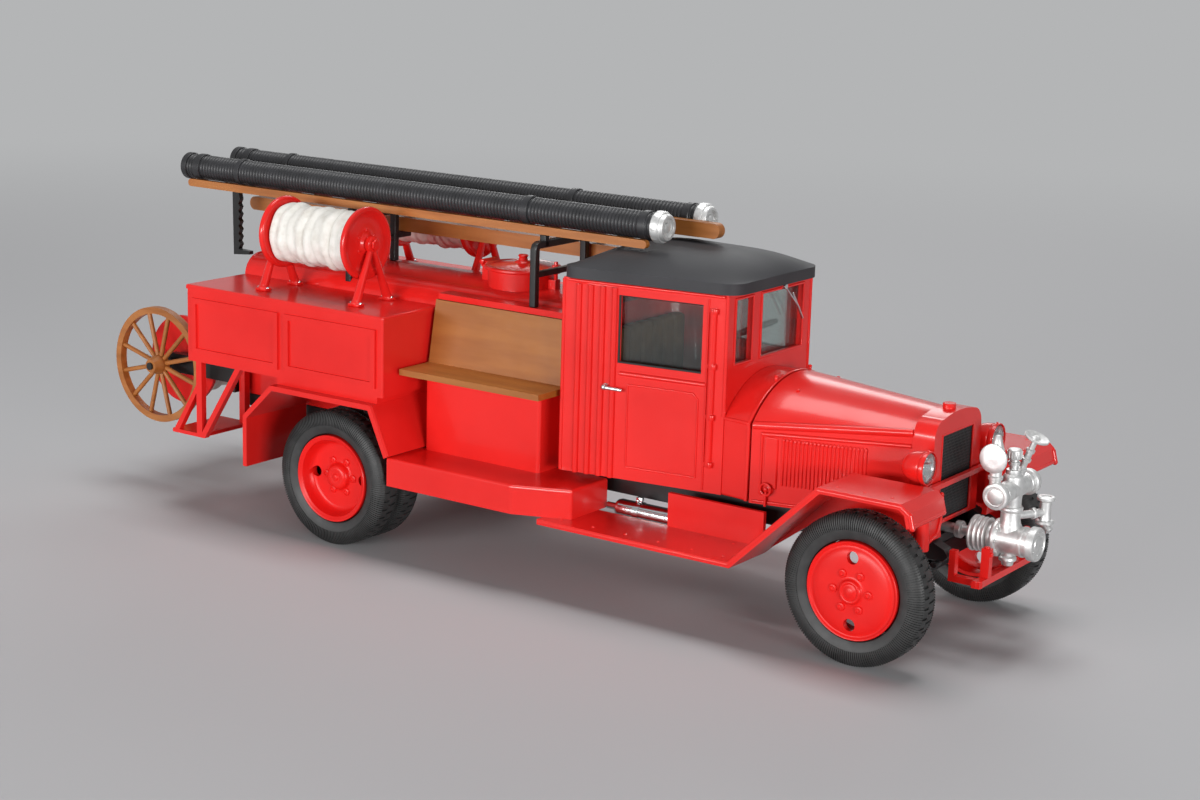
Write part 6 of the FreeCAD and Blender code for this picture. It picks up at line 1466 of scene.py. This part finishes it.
# %% Reel drums
REEL_FACE = [(1.60, 0), (1.60, 0.36), (1.50, 0.52), (0.44, 0.56), (0.42, 1.02), (0.34, 1.26),
             (0.10, 1.42), (-0.04, 1.70), (-0.16, 2.6), (-0.14, 3.8), (-0.03, 4.62), (0.12, 4.84),
             (0.21, 5.10), (0.19, 5.36), (0.06, 5.54), (-0.20, 5.60), (-0.48, 5.55),
             (-0.66, 5.40), (-0.72, 5.15), (-0.66, 4.90), (-0.60, 4.70), (-0.60, 2.0)]
REEL_MIDDLE = -8.5
HUB_STUDS = 6


def reel_drum(side_name):
    """The drum of one reel with studs round its bosses and a nut on each pin."""
    low, high = size_of("reel_drum_" + side_name)
    y, z = (low.y + high.y) / 2, (low.z + high.z) / 2
    back = [(2 * REEL_MIDDLE - along, radius) for along, radius in reversed(REEL_FACE)]
    parts = [turned(spot(0, y, z), "X", REEL_FACE + back, 64)]
    for face, way in ((0, 1), (2 * REEL_MIDDLE, -1)):
        stud = ball((face - 0.08 * way, y, z + 2.05), 0.26, (0.7, 1, 1), 5)
        parts += round_copies(stud, spot(face, y, z), "X", HUB_STUDS)
        parts.append(rod((face + 1.53 * way, y, z), (face + 1.95 * way, y, z), 0.85, 6, 0.08))
    return dress(together(*parts), "dished_reel_drum_" + side_name, red_enamel,
                 ["reel_drum_" + side_name], side_name + "_reel")


drums = [reel_drum(side_name) for side_name in ("left", "right")]
print("reel drums:", [len(drum.data.polygons) for drum in drums], "faces")

# %% [markdown]
# Each end of a reel stands on a cast A-frame: an eye for the pin and two legs that thicken
# towards the foot. Every foot is held by a bright screw. The eye is a ring, spun from a closed
# outline, so the pin really passes through it.

# %% Reel stands
STAND_X = (1.0, -18.0)
LEG_SPREAD = 3.6
STAND_EYE = ((-0.5, 0.74), (-0.5, 1.05), (-0.35, 1.26), (0.35, 1.26), (0.5, 1.05), (0.5, 0.74),
             (-0.5, 0.74))
lid_z = size_of("lockers")[1].z
low, high = size_of("reel_drum_right")
y, z = (low.y + high.y) / 2, (low.z + high.z) / 2
stand_parts, foot_screws = [], []
for x in STAND_X:
    stand_parts.append(turned(spot(x, y, z), "X", STAND_EYE, 24))
    for way in (-1, 1):
        foot = y + way * LEG_SPREAD
        stand_parts += [
            rod((x, foot, lid_z + 0.3), (x, y + way * 0.42, z - 1.02), 0.72, 14, tip=0.46),
            ball((x, foot, lid_z + 0.42), 0.86, (1, 1, 0.75), 8),
            block((x - 1.1, foot - 0.75, lid_z), (x + 1.1, foot + 0.75, lid_z + 0.45), 0.16, 3),
        ]
        foot_screws += [ball((x + end * 0.88, foot, lid_z + 0.46), 0.30, (1, 1, 0.75), 6)
                        for end in (-1, 1)]
dress(both(*stand_parts), "cast_reel_stands", red_enamel, ["reel_stands"])
dress(both(*foot_screws), "reel_foot_screws", plated)
print("reel stands:", len(STAND_X) * 2, "with", len(foot_screws) * 2, "screws")

# %% [markdown]
# # Filler on the tank
# The neck and its lid are turned in one: a straight neck, a rolled rim, a shallow cone and a
# small knob. A hinge on one side and a swing bolt on the other hold it shut.

# %% Filler lid
LID = [(39.72, 5.35), (42.30, 5.35), (42.42, 5.50), (42.46, 5.80), (42.62, 5.92), (42.86, 5.90),
       (43.02, 5.72), (43.02, 5.35), (42.94, 5.15), (43.00, 4.85), (43.18, 3.6), (43.36, 2.2),
       (43.42, 1.3), (43.60, 1.15), (43.70, 0.75), (44.15, 0.62), (44.45, 0.80), (44.62, 0.62),
       (44.68, 0)]
low, high = size_of("filler_hatch")
x = (low.x + high.x) / 2
filler = dress(together(
    turned(spot(x, 0, 0), "Z", LID, 64),
    block((x - 7.0, -1.5, 42.1), (x - 5.0, 1.5, 43.0), 0.15),
    rod((x - 6.6, -1.9, 42.9), (x - 6.6, 1.9, 42.9), 0.42, 12, 0.08),
    block((x + 4.9, -0.8, 42.3), (x + 6.5, 0.8, 43.2), 0.15),
    rod((x + 6.2, 0, 41.3), (x + 6.2, 0, 44.2), 0.30, 10, 0.05),
    rod((x + 6.2, 0, 43.2), (x + 6.2, 0, 43.7), 0.62, 6, 0.06),
    block((x - 6.9, -1.3, 39.9), (x - 5.2, 1.3, 42.3), 0.12),
    block((x + 5.2, -0.7, 39.9), (x + 6.6, 0.7, 41.5), 0.12)),
    "filler_neck_and_lid", red_enamel, ["filler_hatch"])
print("filler:", len(filler.data.polygons), "faces")

# %% [markdown]
# # Racks
# The two gallows behind the cab are bent from square bar and sprayed black. Each has a post on
# both sides, a bar across that the ladder lies on between two pegs, a brace, and a small shelf
# for the folded stick. Bars are stretched cubes with well rounded edges, and the near corner is
# rounded more, where the real bar is bent.

# %% Gallows
BAR = 1.1
LADDER_HALF, FAR_POST_Y, FAR_POST_FOOT, SHELF_END_Y = 7.3, 2.9, 40.0, 6.5
BAR_TOP, BRACE_Z, SHELF_TOP, PEG_TOP = 48.7, 43.8, 44.7, 49.5


def gallows(node, near_y):
    """One rack in the place of its CAD node, its near post standing at near_y."""
    low, high = size_of(node)
    x = (low.x + high.x) / 2
    back, front = x - BAR / 2, x + BAR / 2
    outer, inner = -near_y - BAR / 2, BAR / 2 - near_y
    bent_bar = plate([spot(back, y, z) for y, z in (
        (outer, low.z), (outer, BAR_TOP - 1.2), (outer + 0.35, BAR_TOP - 0.35),
        (outer + 1.2, BAR_TOP), (LADDER_HALF, BAR_TOP), (LADDER_HALF, BAR_TOP - BAR),
        (inner, BAR_TOP - BAR), (inner, low.z))], (BAR, 0, 0))
    pieces = [
        soften(bent_bar, 0.18, 3),
        block((back, FAR_POST_Y - BAR / 2, FAR_POST_FOOT),
              (front, FAR_POST_Y + BAR / 2, BAR_TOP - 0.2), 0.18, 3),
        block((back + 0.1, -near_y, BRACE_Z - 0.45), (front - 0.1, FAR_POST_Y, BRACE_Z + 0.45),
              0.16),
        block((back, FAR_POST_Y, SHELF_TOP - BAR), (front, SHELF_END_Y, SHELF_TOP), 0.16),
    ]
    for y in (-LADDER_HALF, LADDER_HALF):
        pieces.append(block((back, y - BAR / 2, BAR_TOP - BAR), (front, y + BAR / 2, PEG_TOP),
                            0.2, 3))
    return dress(together(*pieces), "bent_bar_" + node, black_styrene, [node])


racks = [gallows("front_rack", 9.6), gallows("rear_rack", 7.8)]
print("racks:", [len(rack.data.polygons) for rack in racks], "faces")

# %% [markdown]
# # Rounded edges of the body
# Paint lies thick on a casting's edges, so each one is round and draws a bright line. Lockers,
# bench boxes and steps are made again from copies of their solids: flat neighbours are joined, the
# outer edges are picked by where they lie, and those alone are rounded.

# %% Lockers, bench boxes and steps with round edges
def place_of(piece, index):
    """A vertex of a piece as a place of the drawing, on the left side."""
    co = piece.data.vertices[index].co
    return (co.x - AXLE_OFFSET) / MM, abs(co.y) / MM, co.z / MM


def round_edged(node, name, wanted, width):
    """A copy of a CAD node with the wanted edges rounded by width millimetres."""
    piece = copy_of(frame["nodes"][node])
    edit(piece)
    bpy.ops.mesh.remove_doubles(threshold=WELD)
    bpy.ops.mesh.dissolve_limited(angle_limit=math.radians(1))
    found = pick(piece, "edges", lambda edge: wanted(*(place_of(piece, i) for i in edge.vertices)))
    bpy.ops.mesh.bevel(offset=width * MM, segments=4, affect="EDGES")
    dress(piece, name, red_enamel, [node], angle=5)
    print(name, "has", found, "round edges")


def along_outer_corner(low, high):
    """A test for edges between two outer planes of a box; those at its foot stay sharp."""
    def planes(place):
        """The box's outer planes that a place lies on."""
        x, y, z = place
        gaps = {"rear": x - low.x, "front": x - high.x, "top": z - high.z,
                "outer": (y - high.y) / 2}
        return {name for name, gap in gaps.items() if abs(gap) < 0.2}
    return lambda first, last: len(planes(first) & planes(last)) >= 2


def step_edge(first, last):
    """A test for the top and the upright edges of a step's outer side."""
    outer = max(first[1], last[1]) > 15.5 and max(first[0], last[0]) > 12
    return outer and (min(first[2], last[2]) > 15.7 or abs(first[2] - last[2]) > 2)


round_edged("lockers", "framed_side_lockers", along_outer_corner(*size_of("lockers")), 0.3)
round_edged("bench_boxes", "round_bench_boxes", along_outer_corner(*size_of("bench_boxes")), 0.5)
round_edged("side_steps", "round_side_steps", step_edge, 0.35)

# %% [markdown]
# # Guards and running boards
# On the casting every free edge of the guards is rolled, so it shows as a bright cord. The same
# cord is laid here along the guard's outline: straight rods with a ball at each bend. Behind the
# wheel the roll turns down into a half-round that stiffens the plate beside the radiator.

# %% Rolled edges
GUARD_LINE = [(39.2, 11.1), (70.9, 11.1), (84.1, 23.85), (96.2, 23.85), (97.45, 22.9),
              (97.9, 21.3)]
ARCH_LINE = [(-17.1, 9.9), (-17.1, 17.8), (-11.5, 23.05), (8.5, 23.05), (11.7, 16.3)]
APRON_LINE = [(-7.5, 22.2), (-7.55, 18.6), (-8.3, 16.9), (-12.2, 16.0)]
dress(both(cord_along([(x, -21.95, z) for x, z in GUARD_LINE], 0.42),
           cord_along([(97.85, -21.9, 21.45), (97.85, -13.0, 21.45)], 0.3),
           cord_along([(39.2, -21.9, 11.1), (39.2, -12.8, 11.1)], 0.36),
           rod((94.75, -12.75, 15.6), (94.75, -12.75, 22.6), 1.05, 20, 0.25),
           cord_along([(94.75, y, z) for y, z in APRON_LINE], 0.3)),
      "rolled_guard_edges", red_enamel)
dress(both(cord_along([(x, -22.95, z) for x, z in ARCH_LINE], 0.34),
           cord_along([(-17.15, -22.9, 9.95), (-17.15, -10.0, 9.95)], 0.24)),
      "rolled_arch_edges", red_enamel)
print("guards and arches have rolled edges")

# %% Rivets
RIVET_ROW_Y, BOARD_Z, GUARD_Z = -20.4, 11.5, 24.3
rivets = [ball((x, RIVET_ROW_Y, BOARD_Z), 0.26, (1, 1, 0.6), 5)
          for x in (42.0, 47.5, 53.0, 58.5, 64.0, 69.0)]
rivets += [ball((x, -14.4, BOARD_Z), 0.26, (1, 1, 0.6), 5) for x in (62.0, 67.0)]
rivets += [ball((x, RIVET_ROW_Y, GUARD_Z), 0.24, (1, 1, 0.6), 5) for x in (86.0, 90.0, 94.0)]
dress(both(*rivets), "board_and_guard_rivets", red_enamel)
print("rivets on each side:", len(rivets))

# %% [markdown]
# The silencer lies bare between step and skirt. Its barrel is rolled sheet: rounded ends, two
# straps with bolts, and a folded seam along it. It is turned as one and then dressed with the rest.

# %% Silencer
PIPE_Y, PIPE_Z = -10.9, 12.0
BARREL = [(43.4, 0), (43.4, 0.5), (45.0, 0.5), (45.1, 0.9), (45.4, 1.2), (45.9, 1.34),
          (64.7, 1.34), (65.2, 1.2), (65.5, 0.9), (65.6, 0.5), (66.6, 0.5), (66.6, 0)]
STRAP = [(-0.5, 1.3), (-0.5, 1.46), (0.5, 1.46), (0.5, 1.3), (-0.5, 1.3)]
silencer = [turned(spot(0, PIPE_Y, PIPE_Z), "X", BARREL, 32),
            rod((46.0, PIPE_Y - 1.18, PIPE_Z + 0.62), (64.6, PIPE_Y - 1.18, PIPE_Z + 0.62), 0.14, 8)]
for x in (49.0, 61.5):
    silencer.append(turned(spot(x, PIPE_Y, PIPE_Z), "X", STRAP, 32))
    silencer.append(block((x - 0.5, PIPE_Y - 0.3, PIPE_Z + 1.3), (x + 0.5, PIPE_Y + 0.3, 14.1), 0.06))
    silencer.append(rod((x, PIPE_Y - 0.75, 13.6), (x, PIPE_Y + 0.75, 13.6), 0.26, 6, 0.04))
dress(together(*silencer), "strapped_silencer", plated, ["silencer"])
print("pieces of the silencer:", len(silencer))

# %% Door handles
HANDLE_X, HANDLE_Z = 44.6, 30.3
HANDLE_ROSE = [(-0.16, 0), (-0.16, 0.5), (0.2, 0.62), (0.2, 0)]
dress(both(rod(on_cab(44.3, HANDLE_Z, 0.55), on_cab(47.5, HANDLE_Z - 0.12, 0.62), 0.34, 12, 0.1,
               0.24),
           ball(on_cab(HANDLE_X, HANDLE_Z, 0.5), 0.46, rings=6),
           rod(on_cab(HANDLE_X, HANDLE_Z, -0.2), on_cab(HANDLE_X, HANDLE_Z, 0.5), 0.3, 12),
           turned(spot(*on_cab(HANDLE_X, HANDLE_Z)), "Y", HANDLE_ROSE, 20)),
      "lever_door_handles", plated, ["door_handles"])
print("door handles made")

# %% [markdown]
# # The back
# Nothing in the photograph shows the back. It is finished like the side: the lockers' ends have
# the same pressed frames, and the tank's end is a dished sheet with a rolled rim.

# %% Pressed frames and tank rim on the back
END_FRAME = [(-20.6, 26.0), (-20.6, 34.6), (-11.4, 34.6), (-11.4, 26.0)]
RIM_STEPS = 6
back_x = size_of("water_tank")[0].x
dress(both(cord_along([(back_x - 0.12, y, z) for y, z in END_FRAME + END_FRAME[:1]], 0.26, 10)),
      "locker_end_frames", red_enamel)
rim = [(-8.4, 25.0), (-8.4, 36.4)]
for step in range(RIM_STEPS + 1):
    angle = math.pi / 2 * step / RIM_STEPS
    rim.append((-8.4 + 3.3 * (1 - math.cos(angle)), 36.4 + 3.2 * math.sin(angle)))
rim += [(-y, z) for y, z in reversed(rim)]
dress(together(cord_along([(back_x - 0.1, y, z) for y, z in rim + rim[:1]], 0.3, 10),
               *[ball((back_x, y, z), 0.3, (0.7, 1, 1), 5)
                 for y, z in ((-7.2, 26.2), (7.2, 26.2), (-7.2, 31.5), (7.2, 31.5),
                              (-7.0, 36.4), (7.0, 36.4), (0, 38.4), (0, 26.2))]),
      "tank_end_rim_and_studs", red_enamel)
print("back framed at x", round(back_x, 2))

# %% [markdown]
# # Springs and axle clamps
# Each axle hangs from two leaf springs. A leaf is an outline along a shallow curve, filled and
# pushed to the leaf's width. Shorter leaves lie under the main one, the ends carry eyes on pins,
# and two bent bolts and a plate clamp the middle to the axle.

# %% Leaf springs
LEAF_WIDTH, LEAF_PITCH, LEAF_THICK = 1.5, 0.4, 0.4 * 0.94


def leaf(centre_x, y, top, half_length, rise):
    """One curved leaf of a spring: low in the middle, its ends bent up."""
    shares = [step / 8 for step in range(-8, 9)]
    upper = [spot(centre_x + half_length * share, y, top + rise * (half_length * share) ** 2)
             for share in shares]
    lower = [place - Vector((0, 0, LEAF_THICK * MM)) for place in upper]
    return plate(upper + lower[::-1], (0, LEAF_WIDTH, 0))


def spring(node, name, leaves, clamp_half):
    """Both springs of an axle in the place of their CAD node."""
    low, high = size_of(node)
    x = (low.x + high.x) / 2
    side = low.y + LEAF_WIDTH
    half_length = (high.x - low.x) / 2 - 0.3
    end_z, middle_z = high.z - 0.45, low.z + LEAF_PITCH * leaves
    rise = (end_z - middle_z) / half_length ** 2
    pieces = [leaf(x, low.y, middle_z - count * LEAF_PITCH,
                   half_length * (1 - count * 0.8 / leaves), rise) for count in range(leaves)]
    for way in (-1, 1):
        end_x, bolt_x = x + way * half_length, x + way * clamp_half
        pieces.append(rod((end_x, low.y - 0.1, end_z - 0.1), (end_x, side + 0.1, end_z - 0.1),
                          0.45, 14, 0.06))
        for y in (low.y - 0.15, side + 0.15):
            pieces.append(rod((bolt_x, y, low.z - 0.1), (bolt_x, y, middle_z + 0.35), 0.18, 8))
    pieces.append(block((x - clamp_half - 0.3, low.y - 0.35, middle_z),
                        (x + clamp_half + 0.3, side + 0.35, middle_z + 0.35), 0.06))
    return dress(both(*pieces), name, black_styrene, [node])


springs = [spring("front_springs", "front_leaf_springs", 3, 0.9),
           spring("rear_springs", "rear_leaf_springs", 5, 1.7)]
print("springs:", [len(pair.data.polygons) for pair in springs], "faces")
